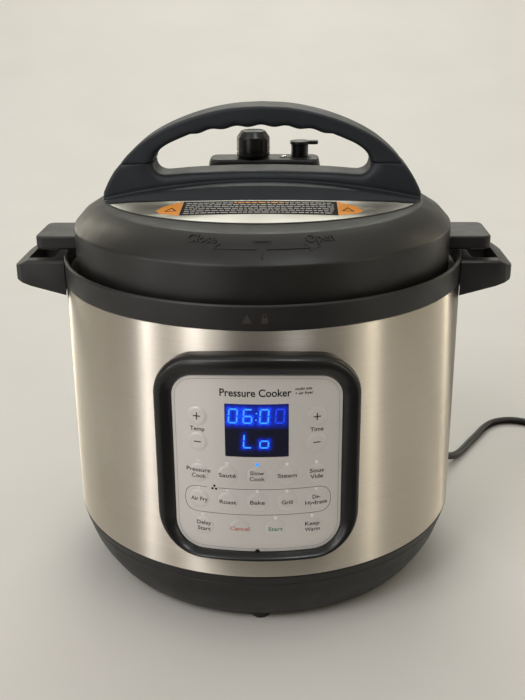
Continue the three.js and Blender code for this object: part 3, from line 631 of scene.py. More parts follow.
# line of text, its width, the middle of its capitals, and its ink if it isn't dark
WORDS = [
    ("Temp", 10.2, -40.1, 165.2), ("Time", 9.2, 40.1, 165.2), ("Pressure", 17, -40.2, 135), ("Cook", 10, -40, 130.6),
    ("Sauté", 11.8, -20.1, 132.6), ("Slow", 9.4, 0, 135), ("Cook", 10.2, 0, 130.6), ("Steam", 12.8, 20.1, 132.8),
    ("Sous", 9.8, 40.2, 135), ("Vide", 8.9, 40.2, 130.6), ("Air Fry", 12.1, -40.2, 113), ("Roast", 11.6, -20.1, 112.4),
    ("Bake", 10, 0, 112.8), ("Grill", 7.4, 20.1, 112.6), ("De-", 5.5, 40.2, 115.2), ("Hydrate", 15.4, 40.2, 110.8),
    ("Delay", 10.3, -37.4, 94.9), ("Start", 9.2, -37.4, 90.4), ("Cancel", 13.2, -12.3, 92.4, "ink_red"),
    ("Start", 9.8, 12.1, 92.4, "ink_green"), ("Keep", 10.2, 37.5, 94.9), ("Warm", 10.8, 37.5, 90.4),
]
LAMPS = [*((u, z) for z in (141.0, 121.0) for u in (-40.2, -20.1, 0, 20.1, 40.2)),
         (-38.2, 100.6), (12.2, 100.6), (37.4, 100.6)]
LIT_LAMP = 2
CAPITALS = 3.0
CAP_HEIGHT = 0.729      # of the built-in letters, at size 1


def panel_outline(half, z0, z1, top, bottom, arch, inset=0.0, run=26, turn=18):
    w, z0, z1, rt, rb = half - inset, z0 + inset, z1 - inset, top - inset, bottom - inset
    points = []

    def straight(a, b):
        points.extend((a[0] + (b[0] - a[0]) * k / run, a[1] + (b[1] - a[1]) * k / run) for k in range(1, run))

    def corner(cx, cz, r, start):
        points.extend((cx + r * math.cos(rad(start + 90 * k / turn)), cz + r * math.sin(rad(start + 90 * k / turn)))
                      for k in range(turn + 1))

    straight((-(w - rb), z0), (w - rb, z0))
    corner(w - rb, z0 + rb, rb, -90)
    straight((w, z0 + rb), (w, z1 - rt))
    corner(w - rt, z1 - rt, rt, 0)
    straight((w - rt, z1), (-(w - rt), z1))
    corner(-(w - rt), z1 - rt, rt, 90)
    straight((-w, z1 - rt), (-w, z0 + rb))
    corner(-(w - rb), z0 + rb, rb, 180)
    return [(u, z - max(0, (z - 150) / (z1 - 150)) * arch * (u / 44) ** 2) for u, z in points]


def filled(outline, holes=(), step=5.0):
    """A flat outline with holes, cut into strips so that it can bend; gives points and faces."""
    work = bmesh.new()
    for loop in (outline, *holes):
        vs = [work.verts.new((a, b, 0)) for a, b in loop]
        for i, v in enumerate(vs):
            work.edges.new((v, vs[(i + 1) % len(vs)]))
    bmesh.ops.triangle_fill(work, edges=work.edges[:], use_beauty=True)
    low = min(a for a, _ in outline)
    high = max(a for a, _ in outline)
    x = low + step
    while x < high - 0.01:
        geometry = work.verts[:] + work.edges[:] + work.faces[:]
        bmesh.ops.bisect_plane(work, geom=geometry, plane_co=(x, 0, 0), plane_no=(1, 0, 0), dist=1e-5)
        x += step
    work.verts.index_update()
    shape = [tuple(v.co) for v in work.verts], [tuple(v.index for v in f.verts) for f in work.faces]
    work.free()
    return shape


def thick(shape, low, high, place):
    """A flat shape given two faces and its edges, put in place by a function of (a, b, height)."""
    points, faces = shape
    n = len(points)
    sides = {}
    for f in faces:
        for a, b in zip(f, (*f[1:], f[0])):
            sides.pop((b, a)) if (b, a) in sides else sides.setdefault((a, b), True)
    made = [place(a, b, h(a, b) if callable(h) else h) for h in (low, high) for a, b, *_ in points]
    skin = [tuple(reversed(f)) for f in faces] + [tuple(i + n for i in f) for f in faces]
    return made, skin + [(a, b, b + n, a + n) for a, b in sides]


def text_shape(words, width, capitals, weight=0.01):
    """The letters of a word as a flat shape, centred, with a given width and capital height."""
    curve = bpy.data.curves.new("letters", "FONT")
    curve.body = words
    curve.resolution_u = 4
    curve.offset = weight
    temp = new_object("letters", curve)
    mesh = bpy.data.meshes.new_from_object(temp.evaluated_get(bpy.context.evaluated_depsgraph_get()))
    work = bmesh.new()
    work.from_mesh(mesh)
    bmesh.ops.remove_doubles(work, verts=work.verts, dist=1e-5)
    work.verts.index_update()
    points = [tuple(v.co) for v in work.verts]
    faces = [tuple(v.index for v in f.verts) for f in work.faces]
    if faces:
        a, b, c = (Vector(points[i]) for i in faces[0][:3])
        if (b - a).cross(c - a).z < 0:
            faces = [f[::-1] for f in faces]
    work.free()
    bpy.data.objects.remove(temp)
    bpy.data.curves.remove(curve)
    bpy.data.meshes.remove(mesh)
    xs = [p[0] for p in points]
    k = width / (max(xs) - min(xs))
    middle = (max(xs) + min(xs)) / 2
    tall = capitals / CAP_HEIGHT
    return [((x - middle) * k, y * tall - capitals / 2) for x, y, _ in points], faces


def key_crown(d):
    """How far a key's film stands out of the panel, by distance from its middle."""
    return 0.32 * ease((KEY_R - d) / 2.2)


def film_height(u, z):
    for _, ku, kz in KEYS:
        d = math.hypot(u - ku, z - kz)
        if d < KEY_R:
            return key_crown(d)
    return 0.0


def printed(name, shape, material, at=(0, 0), lift=0.06):
    """Ink on the panel, following the raised film of the keys."""
    points, faces = shape
    made = thick(([(p[0] + at[0], p[1] + at[1]) for p in points], faces), lambda u, z: film_height(u, z) + 0.005,
                 lambda u, z: film_height(u, z) + lift, wrap)
    return piece(name, made, material, "base", sharp=40)


def circle(u, z, r, steps):
    return [(u + r * math.cos(TAU * k / steps), z + r * math.sin(TAU * k / steps)) for k in range(steps)]


def make_bezel():
    outer, inner = panel_outline(**BEZEL), panel_outline(**FACE)
    back = SHELL_R + 0.3 - FACE_R
    crown = smooth_path([(0, -2.2), (0.015, 0.8), (0.07, 3.2), (0.18, 5.3), (0.33, 6.15), (0.5, 5.9), (0.68, 4.8),
                         (0.85, 3.1), (0.96, 1.5), (1, 0.2)], 5)
    section = [(0, back), *crown, (1, back)]
    rings = [[wrap(u + (inner[i][0] - u) * w, z + (inner[i][1] - z) * w, n) for w, n in section]
             for i, (u, z) in enumerate(outer)]
    piece("panel_frame", loft(rings, True, True), "satin_black", "base", "panel_bezel", sharp=50)
    notch = round_off([(-2.1, 74.3), (1.3, 74.3), (1.3, 75.1, 0.2), (0.5, 76.4, 0.6), (-1.3, 76.4, 0.6),
                       (-2.1, 75.1, 0.2)])
    printed("panel_notch", filled(notch), "satin_black", lift=0.35)


def make_face():
    outline = panel_outline(**FACE, inset=0.25)
    w, z0, z1 = SCREEN
    screen = rounded_box(-w, w, z0, z1, 0.8, 3)
    holes = [circle(u, z, KEY_R + 0.05, 40) for _, u, z in KEYS] + [screen]
    piece("panel_film", thick(filled(outline, holes), -1.2, 0, wrap), "panel_silver", "base", "panel_face", sharp=40)
    line = panel_outline(**FACE, inset=2.3)
    inside = panel_outline(**FACE, inset=2.55)
    printed("panel_border_line", filled(line, [inside]), "ink_faint", lift=0.03)
    middle = 112.75
    line = rounded_box(-50.5, 50.5, middle - 9.85, middle + 9.85, 9.84, 20)
    inside = rounded_box(-50.2, 50.2, middle - 9.55, middle + 9.55, 9.54, 20)
    ring = filled(line, [inside], 4.0)
    gap = [f for f in ring[1] if not (all(ring[0][i][1] > middle + 9 for i in f)
                                      and abs(sum(ring[0][i][0] for i in f) / len(f) + 29.3) < 3.6)]
    printed("panel_capsule_line", (ring[0], gap), "ink_dark", lift=0.04)


def key_shape(u0, z0):
    """A round dome of film with its stem behind it."""
    turns = [(math.cos(TAU * k / 48), math.sin(TAU * k / 48)) for k in range(48)]
    rings = [[wrap(u0 + r * c, z0 + r * s, key_crown(r)) for c, s in turns]
             for r in (0.01, 1.2, 2.6, 4.0, 5.0, 5.6, 6.1, 6.5, 6.8, 7.0, 7.15, KEY_R)]
    a = u0 / FACE_R
    out, side = Vector((*around(1, a), 0)), Vector((math.cos(a), math.sin(a), 0))
    skirt, tip = FACE_R - 2.6, 142.3 / math.cos(a)
    for r, depth in ((KEY_R, skirt), (2.0, skirt), (2.0, tip), (0.01, tip)):
        rings.append([tuple(out * depth + side * (r * c) + Vector((0, 0, z0 + r * s))) for c, s in turns])
    return loft(rings)


def make_keys():
    for name, u, z in KEYS:
        piece("button_" + name, key_shape(u, z), "panel_silver", "key_" + name + "_body", "key_" + name, sharp=40)
    for name, u, z in KEYS[:4]:
        sign = plus_outline(2.5, 0.34) if name.endswith("up") else rounded_box(-2.5, 2.5, -0.34, 0.34, 0.25, 3)
        made = thick(filled([(a + u, b + z) for a, b in sign]), 0.3, 0.4, wrap)
        piece("sign_" + name, made, "ink_dark", "key_" + name + "_body", sharp=40)
    for k, (words, width, u, z, *ink) in enumerate(WORDS):
        name = "".join(c for c in words.replace("é", "e").lower() if c.isalpha())
        printed(f"word_{k:02d}_{name}", text_shape(words, width, CAPITALS), *(ink or ["ink_dark"]), (u, z))
    for name, words, width, tall, at in (("title", "Pressure Cooker", 47.0, 5.4, (-0.6, 192.8)),
                                         ("use_a", "multi use", 11.0, 2.0, (31.0, 195.0)),
                                         ("use_b", "+ air fryer", 12.0, 2.0, (31.4, 191.9))):
        printed("word_" + name, text_shape(words, width, tall, 0.016), "ink_dark", at)
    for k, (u, z) in enumerate(LAMPS):
        dome = [(circle(0, 0, r, 24), h)
                for r, h in ((1.25, -0.1), (1.25, 0.05), (1.0, 0.16), (0.6, 0.22), (0.02, 0.24))]
        rings = [[wrap(a + u, b + z, h + film_height(u, z - 1.2)) for a, b in loop] for loop, h in dome]
        piece(f"lamp_{k:02d}", loft(rings), "display_blue" if k == LIT_LAMP else "lamp_clear", "base", sharp=50)
    for k in range(3):
        a = rad(90 + 120 * k)
        blade = [(math.cos(a + t) * r - 29.3, math.sin(a + t) * r + 122.4) for t, r in
                 ((-0.5, 0.5), (-0.62, 1.4), (-0.45, 2.1), (0.0, 2.35), (0.42, 2.0), (0.5, 1.3), (0.3, 0.6))]
        printed(f"fan_mark_{k}", filled(blade), "ink_dark", lift=0.05)


def plus_outline(r, w):
    return [(-r, -w), (-w, -w), (-w, -r), (w, -r), (w, -w), (r, -w), (r, w), (w, w), (w, r), (-w, r), (-w, w), (-r, w)]


SEGMENTS = {"0": "abcdef", "6": "acdefg", "L": "def", "o": "cdeg"}
SLANT = 0.07
DIGITS = [("0", -15.6, 176.2, True), ("6", -5.8, 176.2, True), ("0", 5.1, 176.2, True), ("0", 15.4, 176.2, False),
          ("L", -5.8, 158.4, True), ("o", 5.1, 158.4, True)]


def segment_ends(letter):
    w, h = 2.75, 4.85
    return {"a": ((-w, h), (w, h)), "b": ((w, h), (w, 0)), "c": ((w, 0), (w, -h)), "d": ((-w, -h), (w, -h)),
            "e": ((-w, 0), (-w, -h)), "f": ((-w, h), (-w, 0)), "g": ((-w, 0), (w, 0))}[letter]


def bar_outline(a, b, half, gap):
    a, b = Vector(a), Vector(b)
    d = (b - a).normalized()
    s = Vector((-d.y, d.x)) * half
    a, b = a + d * gap, b - d * gap
    return [tuple(p) for p in (a, a + d * half - s, b - d * half - s, b, b - d * half + s, a + d * half + s)]


def grid_cells(nx, ny):
    """Cells of a grid of points that runs up each column in turn."""
    step = ny + 1
    return [(i * step + j, (i + 1) * step + j, (i + 1) * step + j + 1, i * step + j + 1)
            for i in range(nx) for j in range(ny)]


def make_display():
    w, z0, z1 = SCREEN
    bars = []
    for k, (digit, u, z, bright) in enumerate(DIGITS):
        for letter in SEGMENTS[digit]:
            ends = [(u + a + SLANT * b, z + b) for a, b in segment_ends(letter)]
            bars.append((*ends, bright))
            made = thick(filled(bar_outline(*ends, 0.5, 0.25), step=50), 0.03, 0.08, wrap)
            piece(f"digit_{k}_{letter}", made, "display_blue" if bright else "display_dim", "base", sharp=40)
    for k, z in enumerate((178.3, 173.6)):
        dot = filled(circle(-0.2 + SLANT * (z - 176), z, 0.55, 16))
        piece(f"colon_{k}", thick(dot, 0.03, 0.08, wrap), "display_blue", "base")
    nu, nz, edge = 90, 80, 0.25
    grid = [(-w + edge + (2 * w - 2 * edge) * i / nu, z0 + edge + (z1 - z0 - 2 * edge) * j / nz)
            for i in range(nu + 1) for j in range(nz + 1)]
    glass = piece("display_glass", thick((grid, grid_cells(nu, nz)), -1.4, 0.02, wrap), "display_black", "base",
                  "display_window", sharp=40)
    glow = glass.data.attributes.new("glow", "FLOAT", "POINT")
    for vertex, value in zip(glass.data.vertices, glow.data):
        x, y, z = (c / MM for c in vertex.co)
        value.value = screen_glow(FACE_R * math.atan2(x, -y), z, bars)


def along(x, z, a, b):
    """How far a place is from a straight line between two others."""
    dx, dz = b[0] - a[0], b[1] - a[1]
    t = min(1, max(0, ((x - a[0]) * dx + (z - a[1]) * dz) / (dx * dx + dz * dz)))
    return math.hypot(x - a[0] - t * dx, z - a[1] - t * dz)


def screen_glow(u, z, bars):
    """The haze round the digits, on a field that is brighter in its upper part."""
    haze = sum((0.46 if bright else 0.2) * math.exp(-(along(u, z, a, b) / 2.1) ** 2) for a, b, bright in bars)
    return min(1.0, haze + 0.27 * ease((z - 166.6) / 1.2))


make_base()
make_bezel()
make_face()
make_keys()
make_display()


# ---------- lid ----------
DOME = [(142.1, 240.6), (142.1, 271.5), (141.6, 274.2), (135, 281.3), (125, 287.4), (121.2, 289.25),
        (119.3, 289.95), (102, 292.4), (76, 294.7), (50, 296.3), (25, 297.5), (0.01, 298)]
SADDLE_TOP, SADDLE_DROP, SADDLE_FOOT, SADDLE_CROWN, SADDLE_TIP = 304.5, 12.5, 47.5, 35.0, 113.0
CRESCENT_R, CRESCENT_Y = 123.1, 20.1


def dome_height(x, y):
    r = math.hypot(x, y)
    for (r1, z1), (r0, z0) in zip(DOME, DOME[1:]):
        if r0 <= r <= r1 and r1 > r0:
            return z0 + (z1 - z0) * (r - r0) / (r1 - r0)
    return DOME[-1][1]


def saddle_top(x):
    return SADDLE_TOP - SADDLE_DROP * (x / SADDLE_TIP) ** 2


def saddle_edge(half, bend, limit, steps=60):
    """The half-width outline of the saddle in plan, from one tip round to the other and back."""
    front = []
    for k in range(steps + 1):
        x = -limit * math.cos(math.pi * k / steps)
        y = half - bend * (x / SADDLE_TIP) ** 2
        front.append((x, -min(y, math.sqrt(max(0.3, (limit + 0.3) ** 2 - x * x)))))
    return front + [(-x, -y) for x, y in front]


def make_lid_cover():
    band = round_off([(142.1, 240.6, 0.8), (142.1, 273.4, 3.2), (135, 281.3), (125, 287.5), (121.2, 289.35, 1.5),
                      (119.0, 289.95, 1.0), (102, 292.4)], closed=False, steps=6)
    inner = [(0.01, 295), (50, 293.3), (101, 289.4), (119.6, 286.6), (133.5, 278.9), (139.2, 273), (140.6, 270),
             (140.6, 240.6)]
    piece("lid_dome", lathe([*band, *DOME[-4:], *inner], 256), "lid_plastic", "lid", "lid_cover", sharp=40)
    make_saddle()
    wing = prism(round_off([(136, -24), (171.3, -24, 7), (171.3, 24, 7), (136, 24)], steps=8), 254, 264.2, flat)
    for name, turn in (("right", 0), ("left", 180)):
        piece("lid_wing_" + name, (spin(wing[0], turn), wing[1]), "lid_plastic", "lid", bevel=1.5, segments=5)
    make_vent()


def make_saddle():
    """The raised seat under the handle, with a fine step round its foot."""
    low, high = saddle_edge(SADDLE_FOOT, 15, 119.2), saddle_edge(SADDLE_CROWN, 10, 117.9)
    rings = [[(a[0] + (b[0] - a[0]) * w, a[1] + (b[1] - a[1]) * w, saddle_top(a[0]) - drop) for a, b in zip(low, high)]
             for w, drop in ((0, 13.5), (0, 8.2), (0.05, 7.4), (0.09, 7.3), (0.13, 6.9), (0.35, 5), (0.65, 2.4),
                             (0.85, 0.9), (0.95, 0.25), (1, 0))]
    rings += [[(x, y * w, saddle_top(x)) for x, y in high] for w in (0.9, 0.7, 0.4, 0.1)]
    piece("lid_saddle", loft(rings), "handle_slate", "lid", sharp=50)


def crescent_front(x, grow=0.0):
    return CRESCENT_Y - math.sqrt((CRESCENT_R + grow) ** 2 - x * x)


def crescent_back(x):
    return -(SADDLE_FOOT + 1.0 - 15 * (x / SADDLE_TIP) ** 2)


def on_plate(x, y, h):
    return (x, y, dome_height(x, y) + h)


def plate_grid(front, back, half, nx, ny):
    """Cells between a front and a back edge, from -half to half."""
    points = []
    for i in range(nx + 1):
        x = -half * math.cos(math.pi * i / nx)
        a, b = front(x), back(x)
        points += [(x, a + (max(b, a + 0.02) - a) * j / ny) for j in range(ny + 1)]
    return points, grid_cells(nx, ny)


def make_lid_plate():
    plate = plate_grid(crescent_front, crescent_back, 110.6, 110, 22)
    piece("lid_steel_plate", thick(plate, -0.3, 0.22, on_plate), "plate_steel", "lid", "lid_plate", sharp=40)
    lip = plate_grid(lambda x: crescent_front(x, 1.5), lambda x: crescent_front(x, 0.35), 110.4, 120, 2)
    piece("lid_plate_lip", thick(lip, -0.3, 0.42, on_plate), "lid_plastic", "lid", sharp=50)
    make_label()


def label_front(x):
    return -82.0 - 1.5 * (1 - (x / 54.5) ** 2)


def label_back(x):
    return -50.9 + 15 * (x / SADDLE_TIP) ** 2


def make_label():
    """A plain black label with rows of dashes and an orange wedge at each end."""
    band = plate_grid(label_front, label_back, 54.5, 40, 10)
    piece("label_band", thick(band, 0.2, 0.3, on_plate), "ink_dark", "lid", sharp=40)
    for side, name in ((-1, "left"), (1, "right")):
        corner = round_off([(54.7, -82), (68, -74.8, 2), (72, -68.4, 3), (68, -58, 3), (54.7, -47.6)], steps=4)
        wedge = filled([(side * x, y) for x, y in corner], step=2.5)
        outer, inner = ([(side * (61.6 + x), y - 67) for x, y in path] for path in
                        (((-4.4, -4.6), (4.4, -4.6), (0, 4.8)), ((-3.0, -3.7), (3.0, -3.7), (0, 2.7))))
        mark = filled(outer, [inner], 50)
        piece("label_wedge_" + name, thick(wedge, 0.2, 0.42, on_plate), "label_orange", "lid", sharp=40)
        piece("label_mark_" + name, thick(mark, 0.4, 0.5, on_plate), "ink_dark", "lid", sharp=40)
    make_dashes()


def make_dashes():
    """Rows of dashes of uneven length; the middle of the last row is taller and orange."""
    rows, seed = 6, 7
    dashes, heading = [], []
    for row in range(rows):
        share = (row + 0.75) / (rows + 0.95)
        x = -52.0
        while x < 50.5:
            seed = (seed * 1103515245 + 12345) % 2 ** 31
            end = min(x + 1.6 + 3.6 * (seed / 2 ** 31), 52)
            titled = row == rows - 1 and abs((x + end) / 2) < 19
            tall = 2.4 if titled else 1.3
            quad = [(q, label_front(q) + (label_back(q) - label_front(q)) * share + h) for q, h in
                    ((x, 0), (end, 0), (end, tall), (x, tall))]
            (heading if titled else dashes).append(thick((quad, [(0, 1, 2, 3)]), 0.3, 0.36, on_plate))
            x = end + 0.9
    piece("label_dashes", joined(*dashes), "label_grey", "lid", sharp=40)
    piece("label_heading", joined(*heading), "label_orange", "lid", sharp=40)


def make_marks():
    """Raised words and arrows on the lid's sloping band, and two printed marks on the rim."""
    middle_r, turn, v, line = 131.0, 1.6, -2.6, 0.42

    def lay(u, rise, h):
        return on_plate(*around(middle_r - rise, u / middle_r + rad(turn)), h)

    def raised(name, shape):
        piece(name, thick(shape, -0.25, 0.75, lay), "lid_plastic", "lid", sharp=40)

    for name, words, degrees, width in (("close", "Close", -17.7, 21.2), ("open", "Open", 17.2, 19.8)):
        points, faces = text_shape(words, width, 6.3)
        u0 = middle_r * rad(degrees)
        raised("mark_" + name, ([(p[0] + u0, p[1] + 4.6) for p in points], faces))
    for side, name in ((-1, "left"), (1, "right")):
        shaft = [(side * 3.2, v - line), (side * 31, v - line), (side * 31, v + line), (side * 3.2, v + line)]
        head = [(side * 30, v - 2.2), (side * 38, v + 0.4), (side * 27, v + 3.4), (side * 31, v)]
        raised("mark_arrow_" + name, joined(filled(shaft, step=4), filled(head, step=50)))
    outer = [(-6.0, v + 6.3), (0, v - 5.7), (6.0, v + 6.3)]
    inner = [(-4.5, v + 5.4), (0, v - 3.7), (4.5, v + 5.4)]
    raised("mark_pointer", filled(outer, [inner], 50))

    def on_rim(outline, holes, h):
        return thick(filled(outline, holes, 50), -0.05, h, lambda u, z, out: (*around(RIM_R + out, u / RIM_R), z))

    triangle = on_rim([(-8.8, 238.6), (-2.4, 238.6), (-5.6, 244.6)], [], 0.06)
    piece("rim_mark_triangle", triangle, "mark_faint", "base", sharp=40)
    bow = round_off([(4.2, 241.8), (4.2, 244.9, 1.5), (7.4, 244.9, 1.5), (7.4, 241.8)], steps=4)
    hole = round_off([(4.9, 242.2), (4.9, 244.2, 0.9), (6.7, 244.2, 0.9), (6.7, 242.2)], steps=4)
    lock = joined(on_rim(rounded_box(3.6, 8.0, 238.6, 242.0, 0.5, 3), [], 0.06), on_rim(bow, [hole], 0.055))
    piece("rim_mark_lock", lock, "mark_faint", "base", sharp=40)


# ---------- valve platform ----------
VALVE_AT, FLOAT_AT, BUTTON_AT = (-8.9, 62), (16.2, 62), (28.7, 62)


def make_vent():
    """The platform at the back of the lid with the steam knob, the float pin and the release button."""
    plan = rounded_box(-44.5, 44.5, 49.5, 80, 9, 8)
    rings = [[(x + grow * (x / 44.5), 64.75 + (y - 64.75) * (1 + grow / 15.25), z) for x, y in plan] for grow, z in
             ((2, 286), (1.6, 296), (0.6, 303), (0, 306.5), (-0.6, 308.1), (-1.6, 308.9), (-2.6, 309), (-6, 309))]
    piece("vent_platform", loft(rings), "lid_plastic", "lid", sharp=50)
    knob = [(0.01, 309.8), (12.6, 309.8, 0.5), (13.4, 311, 0.5), (13.4, 313.2), (12.9, 313.6), (12.9, 314.2),
            (13.4, 314.6), (13.3, 325.4, 3), (9.9, 330.3, 2), (8.6, 330.8, 0.4), (7.9, 330.2, 0.4), (0.01, 329.8)]
    piece("steam_knob", lathe(knob, 96, VALVE_AT), "satin_black", "steam_valve", "steam_release_valve", sharp=50)
    pin = [(0.01, 259), (4.5, 259, 0.4), (4.5, 261, 0.4), (2, 261), (2, 310.5, 0.7), (0.01, 310.5)]
    piece("float_pin_steel", lathe(pin, 40, FLOAT_AT), "spring_steel", "float_pin", "float_valve")
    rim = [(2.5, 308.8), (4.2, 308.8), (4.1, 309.35, 0.3), (2.6, 309.35, 0.2)]
    piece("float_pin_collar", lathe(rim, 40, FLOAT_AT), "satin_black", "lid")
    cap = [(0.01, 304), (6.9, 304), (6.9, 319.3, 0.4), (7.9, 319.8, 0.5), (7.9, 322.3, 0.9), (0.01, 323.2)]
    piece("release_button_cap", lathe(cap, 64, BUTTON_AT), "satin_black", "release_button", "quick_release_button")
    tab = prism(round_off([(33, 58.6), (43.6, 58.6, 2.6), (43.6, 65.4, 2.6), (33, 65.4)], steps=6), 319.6, 322.4, flat)
    piece("release_button_tab", tab, "satin_black", "release_button", bevel=0.7, segments=4)
    collar = [(7.4, 308.8), (9.6, 308.8), (9.4, 309.7, 0.4), (7.5, 309.7, 0.3)]
    piece("release_button_collar", lathe(collar, 64, BUTTON_AT), "lid_plastic", "lid")


# ---------- lid handle ----------
SEAM_Z, GRIP_X, GRIP_Z, HANDLE_Y = 317.2, 80.5, 344.7, 18.0
ARCH = [(104.3, 317.5), (97, 325.3), (85, 335), (70, 343.3), (54, 349.7), (38, 354.3), (20, 357.5), (0, 358.6)]
GRIP = [(80.5, 317.5), (79.3, 321.5), (75.5, 326.5), (69, 331), (61, 334.6), (52, 338.2)]
BAR = [(80.5, 317.2), (80.45, 315.5), (79.6, 312.9), (77.6, 310.6), (74.6, 309.2), (70, 308.8), (54, 310.1),
       (36, 310.95), (18, 311.5), (0, 311.7)]
SLOPE = [(104.3, 317.2), (109.5, 311.2), (114.0, 304), (117.2, 297.6), (119.3, 292.6)]


def foot_width(above):
    """Half the handle's width near its foot, where a fine ledge runs along it."""
    if above < 1.5:
        return 19.6
    if above < 1.9:
        return 19.3 - (above - 1.5) * 3.5
    return 17.9 if above < 2.3 else HANDLE_Y


def edge_distance(x, z, path):
    return min(along(x, z, a, b) for a, b in zip(path, path[1:]))


def roundness(d, r):
    d = min(d, r)
    return r - math.sqrt(max(0, r * r - (r - d) ** 2))


def make_handle_lower():
    """The foot and the grip bar, cut into upright sections from one end to the other."""
    bar, slope = smooth_path(BAR, 5), smooth_path(SLOPE, 4)
    stations = []
    for x, z in bar[::-1] + [(x, SEAM_Z) for x in (84, 90, 97)] + slope:
        if stations and x <= stations[-1][0]:
            x = stations[-1][0] + 0.02
        stations.append((x, z))
    stations = [(-x, z) for x, z in stations[:0:-1]] + stations
    rings = []
    levels = [0.12, 0.24, 0.36, 0.48, 0.6, 0.7, 0.78, 0.85, 0.9, 0.94, 0.97, 0.985, 1.0]
    for x, top in stations:
        base = saddle_top(x) - 0.2
        top = max(top, base + 0.3)
        limit = math.sqrt(max(0.2, 119.2 ** 2 - x * x))
        side = []
        heights = [base + k for k in (0, 1.2, 1.5, 1.9, 2.0, 2.3)]
        heights += [heights[-1] + (top - heights[-1]) * level for level in levels]
        for z in heights:
            z = min(z, top)
            half = min(foot_width(z - base), limit)
            half -= roundness(edge_distance(abs(x), z, bar), 6.0)
            half -= roundness(edge_distance(abs(x), z, slope), 2.2)
            if abs(x) > GRIP_X:
                half -= roundness(SEAM_Z - z, 0.6)
            side.append((max(half, 0.2), z))
        cap = [(side[-1][0] * w, top) for w in (0.85, 0.55, 0.2)]
        right = side + cap
        rings.append([(x, -y, z) for y, z in right] + [(x, y, z) for y, z in right[::-1]])
    piece("lid_handle_base", loft(rings), "handle_slate", "lid", "lid_handle_lower", sharp=60)


def even(points, count):
    """The same path with its points evenly spaced."""
    lengths = [0.0]
    for p, q in zip(points, points[1:]):
        lengths.append(lengths[-1] + math.dist(p, q))
    out, k = [], 0
    for i in range(count + 1):
        at = lengths[-1] * i / count
        while k < len(points) - 2 and lengths[k + 1] < at:
            k += 1
        t = (at - lengths[k]) / max(lengths[k + 1] - lengths[k], 1e-9)
        out.append(tuple(p + (q - p) * t for p, q in zip(points[k], points[k + 1])))
    return out


def scallop(x):
    return GRIP_Z - 4.6 * (x / 46) ** 2 - 0.75 + 0.75 * math.cos(TAU * 5 * x / 92)


def make_handle_upper():
    """The strap: a rounded section carried along between the arch and the grip's opening."""
    outer = even(smooth_path(ARCH, 8), 90)
    inner = even(smooth_path(GRIP, 5) + [(47 - k, scallop(47 - k)) for k in range(48)], 90)
    pairs = list(zip(outer, inner))
    pairs += [((-a[0], a[1]), (-b[0], b[1])) for a, b in pairs[:-1]][::-1]
    rings = []
    for a, b in pairs:
        a, b = Vector(a), Vector(b)
        across = (a - b).normalized()
        inset = 0.6 if len(rings) in (0, len(pairs) - 1) else 0
        long, wide = (a - b).length - inset, HANDLE_Y - inset
        section = round_off([(inset, -wide, 6.2), (long, -wide, 2.8), (long, wide, 2.8), (inset, wide, 6.2)], steps=8)
        rings.append([(b.x + across.x * p, y, b.y + across.y * p) for p, y in section])
    piece("lid_handle_strap", loft(rings), "handle_strap", "lid", "lid_handle_upper", sharp=50)


make_lid_cover()
make_lid_plate()
make_marks()
make_handle_lower()
make_handle_upper()


# ---------- inside ----------
def lug_ring(inner, outer, low, high, half):
    """Six lugs, each reaching some degrees to both sides of its middle."""
    profile = [(inner, low), (outer, low), (outer, high), (inner, high)]
    return joined(*[lathe(profile, 14, span=(60 * k - half, 60 * k + half)) for k in range(6)])


